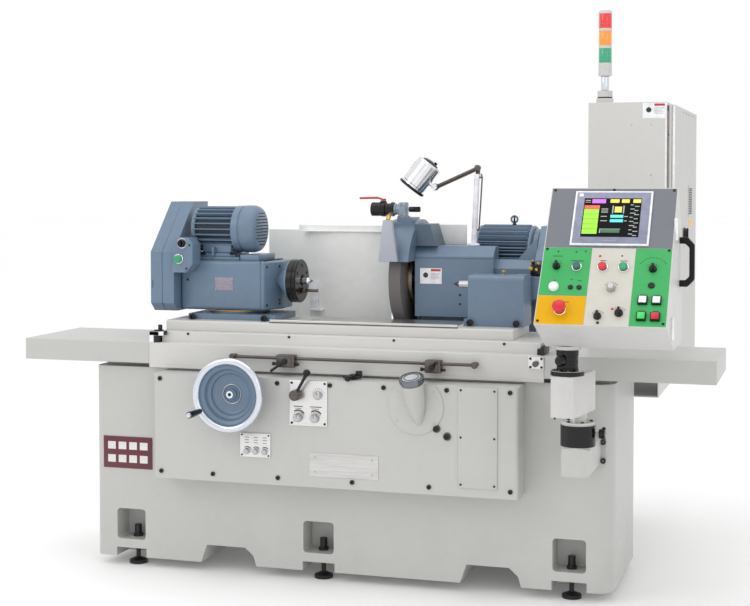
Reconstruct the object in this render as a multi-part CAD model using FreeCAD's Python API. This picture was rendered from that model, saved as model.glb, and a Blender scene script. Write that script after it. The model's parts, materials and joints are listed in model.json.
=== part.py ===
import FreeCAD, Part
import math
import os

V = FreeCAD.Vector

# A cylindrical grinder, in millimetres. Pieces are drawn with X from the bed's left end,
# Y from the bed's front face and Z from the floor, and then moved to the row's origin,
# which is on the floor under the middle of the machine's outer box.
ORIGIN_X = 1056.0
ORIGIN_Y = 513.0

# Bed
BED_LENGTH = 2050.0
BED_DEPTH = 572.0
BED_BOTTOM = 37.4
BED_TOP = 794.0
BED_WALL = 36.0
BED_FOOT_WALL = 132.0
BED_FOOT_WALL_HEIGHT = 300.0
BED_FLOOR = 130.0
REAR_LEFT = 900.0
REAR_RIGHT = 1840.0
REAR_END = 1490.0
WAY_TOP = 838.0
WAY_WIDTH = 60.0
FRONT_WAY_Y = 60.0
REAR_WAY_Y = 300.0

# Levelling feet
FOOT_XS = (150.0, 933.0, 1893.0)
FOOT_Y = 62.0
FOOT_PAD_R = 36.0
FOOT_PAD_HEIGHT = 14.0
FOOT_STEM_R = 9.0
FOOT_HEAD_R = 14.0
FOOT_HEAD_HEIGHT = 36.0
FOOT_POCKET_WIDTH = 122.0
FOOT_POCKET_BOTTOM = 107.0
FOOT_POCKET_TOP = 228.0
FOOT_NOTCH_TOP = 72.0
FOOT_POCKET_DEPTH = 104.0

# Fork notches
FORK_XS = (565.0, 1603.0)
FORK_WIDTH = 204.0
FORK_TOP = 107.0

# Apron box on the bed's front
APRON_LEFT = 307.0
APRON_RIGHT = 1728.0
APRON_BOTTOM = 385.0
APRON_TOP = 788.0
APRON_DEPTH = 120.0
APRON_WALL = 6.0
PLATE_THICKNESS = 5.0
SCREW_R = 7.0
SCREW_HEIGHT = 6.0

# Tables
TABLE_LEFT = 242.0
TABLE_RIGHT = 1803.0
TABLE_FRONT = -25.0
TABLE_BACK = 403.0
TABLE_BOTTOM = 808.0
TABLE_TOP = 895.0
TABLE_SKIRT = 18.0
STEP_LEFT = 286.0
STEP_RIGHT = 1786.0
STEP_FRONT = 0.0
STEP_BACK = 372.0
STEP_TOP = 938.0
WING_LEFT = -300.0
WING_RIGHT = 2412.0
WING_BACK = 430.0
WING_BOTTOM = 812.0
WING_WALL = 5.0
SWIVEL_LEFT = 282.0
SWIVEL_RIGHT = 1674.0
SWIVEL_FRONT = 50.0
SWIVEL_BACK = 350.0
SWIVEL_TOP = 977.0
OIL_FILM = 0.1

# Line of centres
CENTRE_Y = 240.0
CENTRE_Z = 1129.0
RUNNING = 0.05
GAP = 0.4

# Headstock
HEAD_LEFT = 300.0
HEAD_RIGHT = 664.0
HEAD_FRONT = 148.0
HEAD_BACK = 400.0
HEAD_BOTTOM = 1012.0
HEAD_TOP = 1208.0
HEAD_PIVOT_X = 505.0
HEAD_PIVOT_Y = 275.0
HEAD_BASE_LEFT = 350.0
HEAD_BASE_RIGHT = 716.0
HEAD_BASE_FRONT = 112.0
HEAD_BASE_BACK = 420.0
HEAD_BASE_TOP = 1000.0
HEAD_RING_R = 120.0
HEAD_BOSS_R = 92.0
PLATE_BACK = 742.0
PLATE_FRONT = 783.0
PLATE_R = 86.0
SPINDLE_NOSE_R = 40.0
HEAD_TIP = 831.0
CENTRE_R = 14.0
MOTOR_Y = 262.0
MOTOR_Z = 1332.0
MOTOR_R = 84.0
MOTOR_LEFT = 330.0
MOTOR_RIGHT = 632.0
GUARD_LEFT = 185.0
GUARD_RIGHT = 300.0
GUARD_FRONT = 84.0

# Tailstock
TAIL_LEFT = 1479.0
TAIL_RIGHT = 1692.0
TAIL_FRONT = 148.0
TAIL_BACK = 300.0
TAIL_TOP = 1168.0
QUILL_R = 13.5
QUILL_OUT = 1423.0
TAIL_TIP = 1400.0

# Wheelhead
WHEEL_R = 202.0
WHEEL_LEFT = 1112.0
WHEEL_RIGHT = 1161.0
WHEEL_BORE_R = 63.5
WHEEL_Y = 532.0
FLANGE_R = 100.0
SPINDLE_R = 32.0
SPINDLE_END = 1742.0
HOOD_LEFT = 1086.0
HOOD_RIGHT = 1200.0
HOOD_R = 240.0
HOOD_WALL = 12.0
HOUSE_RIGHT = 1520.0
HOUSE_FRONT = 405.0
HOUSE_BACK = 620.0
HOUSE_BOTTOM = 985.0
HOUSE_TOP = 1266.0
DECK_FRONT = 462.0
DECK_BACK = 1020.0
DECK_TOP = 1078.0
SLIDE_BOTTOM = 892.0
CASE_RIGHT = 1680.0
CASE_TOP = 1214.0
DRIVE_Y = 672.0
DRIVE_Z = 1216.0
DRIVE_R = 126.0
DRIVE_LEFT = 1402.0
DRIVE_RIGHT = 1662.0

# Electric cabinet and signal tower
CAB_LEFT = 1853.0
CAB_RIGHT = 2178.0
CAB_FRONT = 640.0
CAB_BACK = 1616.0
CAB_BOTTOM = 742.0
CAB_TOP = 1836.0
CAB_WALL = 3.0
DOOR_INNER = 2194.0
DOOR_OUTER = 2216.0
DOOR_MARGIN = 12.0
TOWER_X = 1910.0
TOWER_Y = 700.0
TOWER_R = 27.0
TOWER_NECK_R = 16.0
TOWER_BODY_BOTTOM = 1945.0
LENS_BOTTOM = 1997.0
LENS_HEIGHT = 58.0
LENS_STEP = 69.0

# Pendant
COLLAR_X = 1960.0
COLLAR_Y = -224.0
COLLAR_R = 60.0
COLLAR_BOTTOM = 609.0
COLLAR_TOP = 688.0
ARM_TURN = -9.0
ARM_WIDTH = 80.0
ARM_BOTTOM = 730.0
ARM_TOP = 868.0
ARM_REACH = 172.0
ARM_BACK = 66.0
SWIVEL_REACH = 118.0
SWIVEL_R = 35.0
PENDANT_LEFT = 1873.0
PENDANT_RIGHT = 2297.0
PENDANT_LIP_Y = -590.0
PENDANT_LIP_Z = 1062.0
PENDANT_TOP_Y = -257.0
PENDANT_TOP_Z = 1500.0
PENDANT_BOTTOM = 968.0
PENDANT_BOTTOM_Y = -372.0
PENDANT_BACK = -104.0
PENDANT_WALL = 2.5


def box(x0, x1, y0, y1, z0, z1):
    return Part.makeBox(x1 - x0, y1 - y0, z1 - z0, V(x0, y0, z0))


def rod(start, end, radius):
    start = V(*start)
    end = V(*end)
    return Part.makeCylinder(radius, (end - start).Length, start, end - start)


def cone(start, end, radius_start, radius_end):
    start = V(*start)
    end = V(*end)
    return Part.makeCone(radius_start, radius_end, (end - start).Length, start, end - start)


def prism(points, direction):
    wire = Part.makePolygon([V(*p) for p in points] + [V(*points[0])])
    return Part.Face(wire).extrude(V(*direction))


def fuse(shapes):
    whole = shapes[0].fuse(shapes[1:]) if len(shapes) > 1 else shapes[0]
    return whole.removeSplitter()


def upright_edges(shape, places, reach=1.0):
    picked = []
    for edge in shape.Edges:
        box_ = edge.BoundBox
        if box_.ZLength < 10 or box_.XLength > reach or box_.YLength > reach:
            continue
        if any(abs(box_.XMin - x) < reach and abs(box_.YMin - y) < reach for x, y in places):
            picked.append(edge)
    return picked


def row_edges(shape, places, reach=1.0):
    picked = []
    for edge in shape.Edges:
        box_ = edge.BoundBox
        if box_.XLength < 10 or box_.YLength > reach or box_.ZLength > reach:
            continue
        if any(abs(box_.YMin - y) < reach and abs(box_.ZMin - z) < reach for y, z in places):
            picked.append(edge)
    return picked


# ---------------------------------------------------------------- bed
def foot_places():
    front = [(x, FOOT_Y) for x in FOOT_XS]
    back = [(FOOT_XS[0], BED_DEPTH - FOOT_Y), (FOOT_XS[2], BED_DEPTH - FOOT_Y)]
    rear = [(REAR_LEFT + 90, REAR_END - FOOT_Y), (REAR_RIGHT - 90, REAR_END - FOOT_Y)]
    return front + back + rear


def bed_casting():
    front = box(0, BED_LENGTH, 0, BED_DEPTH, BED_BOTTOM, BED_TOP)
    front = front.makeFillet(70, upright_edges(front, [(BED_LENGTH, 0)]))
    front = front.makeFillet(28, upright_edges(front, [(0, 0)]))
    rear = box(REAR_LEFT, REAR_RIGHT, BED_DEPTH, REAR_END, BED_BOTTOM, BED_TOP)
    ways = []
    for way_y in (FRONT_WAY_Y, REAR_WAY_Y):
        ways.append(box(20, BED_LENGTH - 20, way_y, way_y + WAY_WIDTH, BED_TOP, WAY_TOP))
    body = fuse([front, rear] + ways)
    inner_top = BED_TOP - BED_WALL
    body = body.cut(box(BED_WALL, BED_LENGTH - BED_WALL, BED_WALL, BED_DEPTH - BED_WALL,
                        BED_FOOT_WALL_HEIGHT, inner_top))
    body = body.cut(box(BED_FOOT_WALL + 90, BED_LENGTH - BED_FOOT_WALL - 90, BED_FOOT_WALL,
                        BED_DEPTH - BED_FOOT_WALL, BED_FLOOR, BED_FOOT_WALL_HEIGHT))
    body = body.cut(box(REAR_LEFT + BED_WALL, REAR_RIGHT - BED_WALL, BED_DEPTH,
                        REAR_END - BED_FOOT_WALL, BED_FLOOR, inner_top))
    for x, y in foot_places():
        body = body.cut(foot_room(x, y))
    for x in FORK_XS:
        body = body.cut(fork_notch(x))
    return body


def foot_room(x, y):
    half = FOOT_POCKET_WIDTH / 2
    faces_front = y < BED_DEPTH / 2
    wall = 0.0 if faces_front else (REAR_END if y > BED_DEPTH else BED_DEPTH)
    inner = wall + FOOT_POCKET_DEPTH if faces_front else wall - FOOT_POCKET_DEPTH
    y0, y1 = min(wall, inner), max(wall, inner)
    pocket = box(x - half, x + half, y0, y1, FOOT_POCKET_BOTTOM, FOOT_POCKET_TOP)
    pocket = pocket.makeFillet(14, [e for e in pocket.Edges if e.BoundBox.YLength > 50])
    notch = box(x - half - 3, x + half + 3, y0, y1, BED_BOTTOM, FOOT_NOTCH_TOP)
    hole = rod((x, y, BED_BOTTOM), (x, y, FOOT_POCKET_BOTTOM), FOOT_STEM_R + RUNNING)
    return pocket.fuse([notch, hole])


def fork_notch(x):
    half = FORK_WIDTH / 2
    points = [(x - half - 14, 0, BED_BOTTOM), (x - half + 10, 0, FORK_TOP),
              (x + half - 34, 0, FORK_TOP), (x + half, 0, FORK_TOP - 30), (x + half + 12, 0, BED_BOTTOM)]
    depth = REAR_END if REAR_LEFT < x < REAR_RIGHT else BED_DEPTH
    return prism(points, (0, depth, 0))


def leveling_feet():
    feet = []
    for x, y in foot_places():
        pad = rod((x, y, 0), (x, y, FOOT_PAD_HEIGHT), FOOT_PAD_R)
        crown = cone((x, y, FOOT_PAD_HEIGHT), (x, y, FOOT_PAD_HEIGHT + 9), FOOT_PAD_R - 4, FOOT_STEM_R + 5)
        stem = rod((x, y, FOOT_PAD_HEIGHT), (x, y, FOOT_POCKET_BOTTOM), FOOT_STEM_R)
        nut = rod((x, y, FOOT_POCKET_BOTTOM), (x, y, FOOT_POCKET_BOTTOM + 12), FOOT_HEAD_R + 5)
        head = rod((x, y, FOOT_POCKET_BOTTOM + 12), (x, y, FOOT_POCKET_BOTTOM + FOOT_HEAD_HEIGHT + 12),
                   FOOT_HEAD_R)
        feet.append(fuse([pad, crown, stem, nut, head]))
    return Part.makeCompound(feet)


def apron_cover():
    outer = box(APRON_LEFT, APRON_RIGHT, -APRON_DEPTH, 0, APRON_BOTTOM, APRON_TOP)
    corners = [(x, -APRON_DEPTH) for x in (APRON_LEFT, APRON_RIGHT)]
    outer = outer.makeFillet(12, upright_edges(outer, corners))
    inner = box(APRON_LEFT + APRON_WALL, APRON_RIGHT - APRON_WALL, -APRON_DEPTH + APRON_WALL, 0,
                APRON_BOTTOM + APRON_WALL, APRON_TOP - APRON_WALL)
    cover = outer.cut(inner)
    holes = [shaft_room(*place, radius) for place, radius in apron_shafts()]
    return cover.cut(Part.makeCompound(holes))


def shaft_room(x, z, radius):
    return rod((x, -APRON_DEPTH - 20, z), (x, 0, z), radius + RUNNING)


HAND_X = 646.0
HAND_Z = 727.0
HAND_SHAFT_R = 15.0
START_X = 892.0
START_Z = 730.0
KNOB_SHAFT_R = 5.0
KNOBS = {"speed_knob": (977.0, 732.0), "dwell_knob_left": (898.0, 645.0), "dwell_knob_right": (965.0, 645.0)}


def apron_shafts():
    shafts = [((HAND_X, HAND_Z), HAND_SHAFT_R), ((START_X, START_Z), KNOB_SHAFT_R + 2)]
    return shafts + [(place, KNOB_SHAFT_R) for place in KNOBS.values()]


def plate_on_apron(x0, x1, z0, z1, thickness=PLATE_THICKNESS):
    return box(x0, x1, -APRON_DEPTH - thickness, -APRON_DEPTH, z0, z1)


def front_plates():
    lever_plate = plate_on_apron(862, 1012, 614, 784)
    holes = [shaft_room(x, z, r) for (x, z), r in apron_shafts()]
    lever_plate = lever_plate.cut(Part.makeCompound(holes))
    lube = [plate_on_apron(664, 787, 486, 578)]
    for x in (693, 729, 765):
        lube.append(rod((x, -APRON_DEPTH - 22, 509), (x, -APRON_DEPTH - PLATE_THICKNESS, 509), 12))
    data_plate = plate_on_apron(940, 1208, 427, 515, 2)
    access = plate_on_apron(1509, 1653, 418, 784)
    badge = box(32, 243, -3, 0, 389, 515)
    return Part.makeCompound([lever_plate, fuse(lube), data_plate, access, badge])


def front_screws():
    out = []
    places = [(x, 769) for x in (334, 813, 1021, 1228, 1466, 1699)]
    places += [(x, 413) for x in (338, 552, 815, 1107, 1400, 1701)]
    for x, z in places:
        out.append(rod((x, -APRON_DEPTH - SCREW_HEIGHT, z), (x, -APRON_DEPTH, z), SCREW_R))
    skin = -APRON_DEPTH - PLATE_THICKNESS
    for x in (1519, 1643):
        for z in (430, 601, 772):
            out.append(rod((x, skin - SCREW_HEIGHT, z), (x, skin, z), SCREW_R))
    return Part.makeCompound(out)


SIGHT_TOP = (1335.0, -176.0, 800.0)
SIGHT_FOOT = (1360.0, -116.0, 640.0)
SIGHT_R = 42.0


def oil_sight():
    cup = cone(SIGHT_FOOT, SIGHT_TOP, 9, SIGHT_R)
    ring_end = V(*SIGHT_TOP) + (V(*SIGHT_TOP) - V(*SIGHT_FOOT)).normalize() * 10
    ring = rod(SIGHT_TOP, tuple(ring_end), SIGHT_R + 4)
    collar = rod((1352, -APRON_DEPTH - 4, 706), (1352, -APRON_DEPTH, 706), 76)
    return fuse([cup, ring, collar]).cut(box(1200, 1500, -APRON_DEPTH, 60, 500, 900))


def splash_guard():
    low = BED_TOP
    top = 1340.0
    sheet = 4.0
    outer = [V(640, 600, low), V(700, 566, low), V(1055, 566, low)]
    mid = V(860, 548, low)
    edge = Part.Wire([Part.makeLine(outer[0], outer[1]), Part.Arc(outer[1], mid, outer[2]).toShape()])
    inner = edge.copy()
    inner.translate(V(0, sheet, 0))
    caps = [Part.makeLine(outer[0], outer[0] + V(0, sheet, 0)), Part.makeLine(outer[2], outer[2] + V(0, sheet, 0))]
    face = Part.Face(Part.Wire(Part.__sortEdges__(edge.Edges + inner.Edges + caps)))
    curved = face.extrude(V(0, 0, top - low))
    back = box(505, 640, 600, 600 + sheet, low, 1320)
    lip = box(660, 1054, 540, 572, top - 26, top - 22)
    foot = box(505, 1055, 572, 592, low, low + 6)
    return fuse([curved, back, lip, foot])


# ---------------------------------------------------------------- cabinet
def cabinet_body():
    shell = box(CAB_LEFT, CAB_RIGHT, CAB_FRONT, CAB_BACK, CAB_BOTTOM, CAB_TOP)
    hollow = box(CAB_LEFT + CAB_WALL, CAB_RIGHT, CAB_FRONT + 26, CAB_BACK - 26,
                 CAB_BOTTOM + 26, CAB_TOP - 26)
    rim = box(CAB_RIGHT, DOOR_INNER - GAP, CAB_FRONT + 13, CAB_BACK - 13, CAB_BOTTOM + 13, CAB_TOP - 13)
    shell = fuse([shell, rim]).cut(hollow).cut(hollow.translated(V(16, 0, 0)))
    bracket = box(1890, 2131, 700, 1380, 656, CAB_BOTTOM)
    bracket = bracket.cut(box(1896, 2125, 700, 1380, 662, CAB_BOTTOM - 6))
    gusset = prism([(REAR_RIGHT, 720, 656), (REAR_RIGHT, 720, CAB_BOTTOM), (1890, 720, CAB_BOTTOM),
                    (1890, 720, 656)], (0, 640, 0))
    panel = box(CAB_LEFT + CAB_WALL, CAB_LEFT + CAB_WALL + 4, CAB_FRONT + 60, CAB_BACK - 60,
                CAB_BOTTOM + 60, CAB_TOP - 60)
    return fuse([shell, bracket, gusset, panel])


def cabinet_door():
    skin = box(DOOR_INNER, DOOR_OUTER, CAB_FRONT + DOOR_MARGIN, CAB_BACK - DOOR_MARGIN,
               CAB_BOTTOM + DOOR_MARGIN, CAB_TOP - DOOR_MARGIN)
    tray = box(DOOR_INNER, DOOR_OUTER - 3, CAB_FRONT + 16, CAB_BACK - 16, CAB_BOTTOM + 16, CAB_TOP - 16)
    knob_hole = rod((DOOR_INNER, SWITCH_Y, SWITCH_Z), (DOOR_OUTER, SWITCH_Y, SWITCH_Z), 6 + RUNNING)
    vent = [box(DOOR_OUTER, DOOR_OUTER + 2, 1270, 1330, 1400, 1510)]
    return fuse([skin.cut(tray)] + vent).cut(knob_hole)


SWITCH_Y = 1044.0
SWITCH_Z = 1297.0


def main_switch():
    disc = rod((DOOR_OUTER + GAP, SWITCH_Y, SWITCH_Z), (DOOR_OUTER + 14, SWITCH_Y, SWITCH_Z), 32)
    bar = box(DOOR_OUTER + 12, DOOR_OUTER + 34, SWITCH_Y - 9, SWITCH_Y + 9, SWITCH_Z - 30, SWITCH_Z + 30)
    shaft = rod((DOOR_OUTER - 14, SWITCH_Y, SWITCH_Z), (DOOR_OUTER + 4, SWITCH_Y, SWITCH_Z), 6)
    return fuse([disc, bar, shaft])


def tower_disc(z0, z1, radius):
    return rod((TOWER_X, TOWER_Y, z0), (TOWER_X, TOWER_Y, z1), radius)


def signal_post():
    foot = box(TOWER_X - 30, TOWER_X + 30, TOWER_Y - 30, TOWER_Y + 30, CAB_TOP, CAB_TOP + 18)
    block = tower_disc(CAB_TOP + 18, CAB_TOP + 49, TOWER_R + 3)
    neck = tower_disc(CAB_TOP + 49, TOWER_BODY_BOTTOM, TOWER_NECK_R)
    body = tower_disc(TOWER_BODY_BOTTOM, LENS_BOTTOM, TOWER_R)
    core = tower_disc(LENS_BOTTOM, LENS_BOTTOM + 3 * LENS_STEP, 9)
    rings = []
    for i in (1, 2):
        top = LENS_BOTTOM + i * LENS_STEP
        rings.append(tower_disc(top - LENS_STEP + LENS_HEIGHT, top, TOWER_R))
    cap_bottom = LENS_BOTTOM + 2 * LENS_STEP + LENS_HEIGHT
    cap = tower_disc(cap_bottom, cap_bottom + 14, TOWER_R)
    cap = cap.makeFillet(8, [e for e in cap.Edges if e.BoundBox.ZMin > cap_bottom + 13])
    return fuse([foot, block, neck, body, core, cap] + rings)


def signal_lenses():
    lenses = []
    for i in range(3):
        low = LENS_BOTTOM + i * LENS_STEP
        tube = tower_disc(low, low + LENS_HEIGHT, TOWER_R - 1)
        lenses.append(tube.cut(tower_disc(low, low + LENS_HEIGHT, TOWER_R - 4)))
    return Part.makeCompound(lenses)


# ---------------------------------------------------------------- apron controls
def handwheel():
    rim_y = -200.0
    axis = V(0, 1, 0)
    rim = Part.makeTorus(131, 10, V(HAND_X, rim_y, HAND_Z), axis)
    profile = [(0, -196, 0), (126, -200, 0), (126, -192, 0), (96, -186, 0), (88, -168, 0), (40, -158, 0), (40, -140, 0),
               (0, -140, 0)]
    points = [V(HAND_X + r, y, HAND_Z) for r, y, _ in profile]
    points[0] = V(HAND_X, -180, HAND_Z)
    points.insert(1, V(HAND_X + 84, -180, HAND_Z))
    points.insert(2, V(HAND_X + 92, -196, HAND_Z))
    dish = Part.Face(Part.makePolygon(points + [points[0]])).revolve(V(HAND_X, 0, HAND_Z), axis, 360)
    hub = rod((HAND_X, -192, HAND_Z), (HAND_X, -150, HAND_Z), 24)
    shaft = rod((HAND_X, -150, HAND_Z), (HAND_X, -APRON_DEPTH + 40, HAND_Z), HAND_SHAFT_R)
    pin = rod((GRIP_X, -206, GRIP_Z), (GRIP_X, -192, GRIP_Z), 9)
    grip = cone((GRIP_X, -206, GRIP_Z), (GRIP_X, -322, GRIP_Z), 9, 13)
    return fuse([rim, dish, hub, shaft, pin, grip])


GRIP_X = HAND_X - 100.0
GRIP_Z = HAND_Z - 54.0


def start_lever():
    y = -APRON_DEPTH - PLATE_THICKNESS
    boss = rod((START_X, y - 34, START_Z), (START_X, y - GAP, START_Z), 20)
    shaft = rod((START_X, y - 10, START_Z), (START_X, -APRON_DEPTH + 30, START_Z), KNOB_SHAFT_R + 2)
    arm = rod((START_X, y - 22, START_Z), (START_X + 48, y - 30, START_Z + 82), 6)
    ball = Part.makeSphere(14, V(START_X + 50, y - 30, START_Z + 86))
    return fuse([boss, shaft, arm, ball])


def panel_knob(name):
    x, z = KNOBS[name]
    y = -APRON_DEPTH - PLATE_THICKNESS
    knob = rod((x, y - 24, z), (x, y - GAP, z), 17)
    knob = knob.makeFillet(3, [e for e in knob.Edges if e.BoundBox.YMax < y - 23])
    shaft = rod((x, y - 8, z), (x, -APRON_DEPTH + 24, z), KNOB_SHAFT_R)
    return fuse([knob, shaft])


REVERSE_X = 1096.0
REVERSE_Y = -74.0


def reversing_lever():
    low = APRON_TOP + GAP
    post = rod((REVERSE_X, REVERSE_Y, low), (REVERSE_X, REVERSE_Y, low + 20), 17)
    arm = rod((REVERSE_X, REVERSE_Y, low + 11), (REVERSE_X - 34, REVERSE_Y - 52, low + 11), 6)
    ball = Part.makeSphere(10.5, V(REVERSE_X - 37, REVERSE_Y - 56, low + 11))
    return fuse([post, arm, ball])


# ---------------------------------------------------------------- tables
def lower_table():
    top = box(TABLE_LEFT, TABLE_RIGHT, TABLE_FRONT, TABLE_BACK, WAY_TOP + OIL_FILM, TABLE_TOP)
    front = box(TABLE_LEFT, TABLE_RIGHT, TABLE_FRONT, TABLE_FRONT + TABLE_SKIRT, TABLE_BOTTOM, TABLE_TOP)
    back = box(TABLE_LEFT, TABLE_RIGHT, TABLE_BACK - TABLE_SKIRT, TABLE_BACK, TABLE_BOTTOM, TABLE_TOP)
    step = box(STEP_LEFT, STEP_RIGHT, STEP_FRONT, STEP_BACK, TABLE_TOP, STEP_TOP)
    return fuse([top, front, back, step])


def table_wings():
    wings = []
    for x0, x1 in ((WING_LEFT, TABLE_LEFT), (TABLE_RIGHT, WING_RIGHT)):
        slab = box(x0, x1, TABLE_FRONT, WING_BACK, WING_BOTTOM, TABLE_TOP)
        under = box(x0 + WING_WALL, x1 - WING_WALL, TABLE_FRONT + WING_WALL, WING_BACK - WING_WALL,
                    WING_BOTTOM, TABLE_TOP - WING_WALL)
        wing = slab.cut(under)
        inner = x1 if x0 == WING_LEFT else x0
        room = box(inner - 30, inner + 30, TABLE_FRONT + WING_WALL, WING_BACK - WING_WALL, WING_BOTTOM,
                   TABLE_TOP - WING_WALL)
        wings.append(wing.cut(room))
    return Part.makeCompound(wings)


RAIL_Y = -52.0
RAIL_Z = 855.0
RAIL_R = 6.0
RAIL_LEFT = 607.0
RAIL_RIGHT = 1553.0


def dog_rail():
    bar = rod((RAIL_LEFT, RAIL_Y, RAIL_Z), (RAIL_RIGHT, RAIL_Y, RAIL_Z), RAIL_R)
    ends = []
    for x in (RAIL_LEFT, RAIL_RIGHT):
        ends.append(rod((x, RAIL_Y - 14, RAIL_Z), (x, TABLE_FRONT, RAIL_Z), 11))
    return fuse([bar] + ends)


def trip_dog(x0, x1, lever_x, lever_z):
    block = box(x0, x1, RAIL_Y - 20, RAIL_Y + 18, 822, 869)
    block = block.makeFillet(5, [e for e in block.Edges if e.BoundBox.YLength > 30])
    block = block.cut(rod((x0, RAIL_Y, RAIL_Z), (x1, RAIL_Y, RAIL_Z), RAIL_R + RUNNING))
    mid = (x0 + x1) / 2
    screw = rod((mid, RAIL_Y - 34, 838), (mid, RAIL_Y - 20, 838), 8)
    lever = rod((mid, RAIL_Y - 30, 838), (lever_x, RAIL_Y - 32, lever_z), 3.5)
    pin = rod((x0 - 24, RAIL_Y - 8, 834), (x1 + 16, RAIL_Y - 8, 834), 4)
    return fuse([block, screw, lever, pin])


def swivel_clamps():
    left = box(236, 276, TABLE_FRONT, 60, TABLE_TOP, 937).cut(box(252, 276, TABLE_FRONT, 60, TABLE_TOP, 920))
    left_block = box(253, 272, TABLE_FRONT, 20, TABLE_TOP, 919)
    pin = rod((268, 4, 937), (268, 4, 966), 8)
    right = box(1790, 1803, TABLE_FRONT, 80, TABLE_TOP, 926)
    plate = box(1746, 1803, TABLE_FRONT - 6, TABLE_FRONT, 848, 889)
    knob = rod((1775, TABLE_FRONT - 26, 866), (1775, TABLE_FRONT - 6, 866), 11)
    return Part.makeCompound([fuse([left, pin]), left_block, right, fuse([plate, knob])])


def upper_table():
    low = STEP_TOP + OIL_FILM
    slab = box(SWIVEL_LEFT, SWIVEL_RIGHT, SWIVEL_FRONT, SWIVEL_BACK, low, SWIVEL_TOP)
    edges = row_edges(slab, [(SWIVEL_FRONT, SWIVEL_TOP), (SWIVEL_BACK, SWIVEL_TOP)])
    return slab.makeChamfer(4, edges)


# ---------------------------------------------------------------- headstock
def headstock_base():
    plate = box(HEAD_BASE_LEFT, HEAD_BASE_RIGHT, HEAD_BASE_FRONT, HEAD_BASE_BACK - 74, SWIVEL_TOP, HEAD_BASE_TOP)
    ring = rod((HEAD_PIVOT_X, HEAD_PIVOT_Y, SWIVEL_TOP), (HEAD_PIVOT_X, HEAD_PIVOT_Y, HEAD_BASE_TOP + 6),
               HEAD_RING_R)
    nuts = []
    for x in (HEAD_BASE_LEFT + 24, HEAD_BASE_RIGHT - 40):
        nuts.append(rod((x, HEAD_BASE_FRONT - 12, 988), (x, HEAD_BASE_FRONT, 988), 11))
    return fuse([plate, ring] + nuts)


def headstock_body():
    body = box(HEAD_LEFT, HEAD_RIGHT, HEAD_FRONT, HEAD_BACK, HEAD_BOTTOM, HEAD_TOP)
    body = body.makeFillet(16, row_edges(body, [(HEAD_FRONT, HEAD_TOP), (HEAD_BACK, HEAD_TOP)]))
    ring = rod((HEAD_PIVOT_X, HEAD_PIVOT_Y, HEAD_BASE_TOP + 6 + OIL_FILM), (HEAD_PIVOT_X, HEAD_PIVOT_Y, HEAD_BOTTOM + 4),
               HEAD_RING_R)
    boss = rod((HEAD_RIGHT - 4, CENTRE_Y, CENTRE_Z), (PLATE_BACK - GAP, CENTRE_Y, CENTRE_Z), HEAD_BOSS_R)
    boss = boss.cut(box(HEAD_RIGHT - 10, PLATE_BACK, 0, 500, 0, SWIVEL_TOP + 46))
    body = fuse([body, ring, boss])
    body = body.cut(box(HEAD_LEFT + 26, HEAD_RIGHT - 44, HEAD_FRONT + 22, HEAD_BACK - 22, HEAD_BOTTOM + 18,
                        HEAD_TOP - 18))
    nose = rod((HEAD_RIGHT - 60, CENTRE_Y, CENTRE_Z), (PLATE_BACK, CENTRE_Y, CENTRE_Z), SPINDLE_NOSE_R + RUNNING)
    return body.cut(nose)


def drive_plate():
    disc = rod((PLATE_BACK, CENTRE_Y, CENTRE_Z), (PLATE_FRONT, CENTRE_Y, CENTRE_Z), PLATE_R)
    disc = disc.makeFillet(5, [e for e in disc.Edges if e.BoundBox.XMin > PLATE_FRONT - 1])
    nose = rod((HEAD_RIGHT - 36, CENTRE_Y, CENTRE_Z), (PLATE_BACK, CENTRE_Y, CENTRE_Z), SPINDLE_NOSE_R)
    bore = rod((HEAD_RIGHT - 36, CENTRE_Y, CENTRE_Z), (PLATE_FRONT, CENTRE_Y, CENTRE_Z), CENTRE_R + RUNNING)
    pin = rod((PLATE_FRONT, CENTRE_Y - 4, CENTRE_Z - 38), (PLATE_FRONT + 68, CENTRE_Y - 4, CENTRE_Z - 38), 6)
    pin_nut = rod((PLATE_FRONT, CENTRE_Y - 4, CENTRE_Z - 38), (PLATE_FRONT + 16, CENTRE_Y - 4, CENTRE_Z - 38), 13)
    return fuse([disc, nose, pin, pin_nut]).cut(bore)


def headstock_centre():
    shank = rod((HEAD_RIGHT - 60, CENTRE_Y, CENTRE_Z), (PLATE_FRONT + 24, CENTRE_Y, CENTRE_Z), CENTRE_R)
    tip = cone((PLATE_FRONT + 24, CENTRE_Y, CENTRE_Z), (HEAD_TIP, CENTRE_Y, CENTRE_Z), CENTRE_R, 0)
    return fuse([shank, tip])


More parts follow.
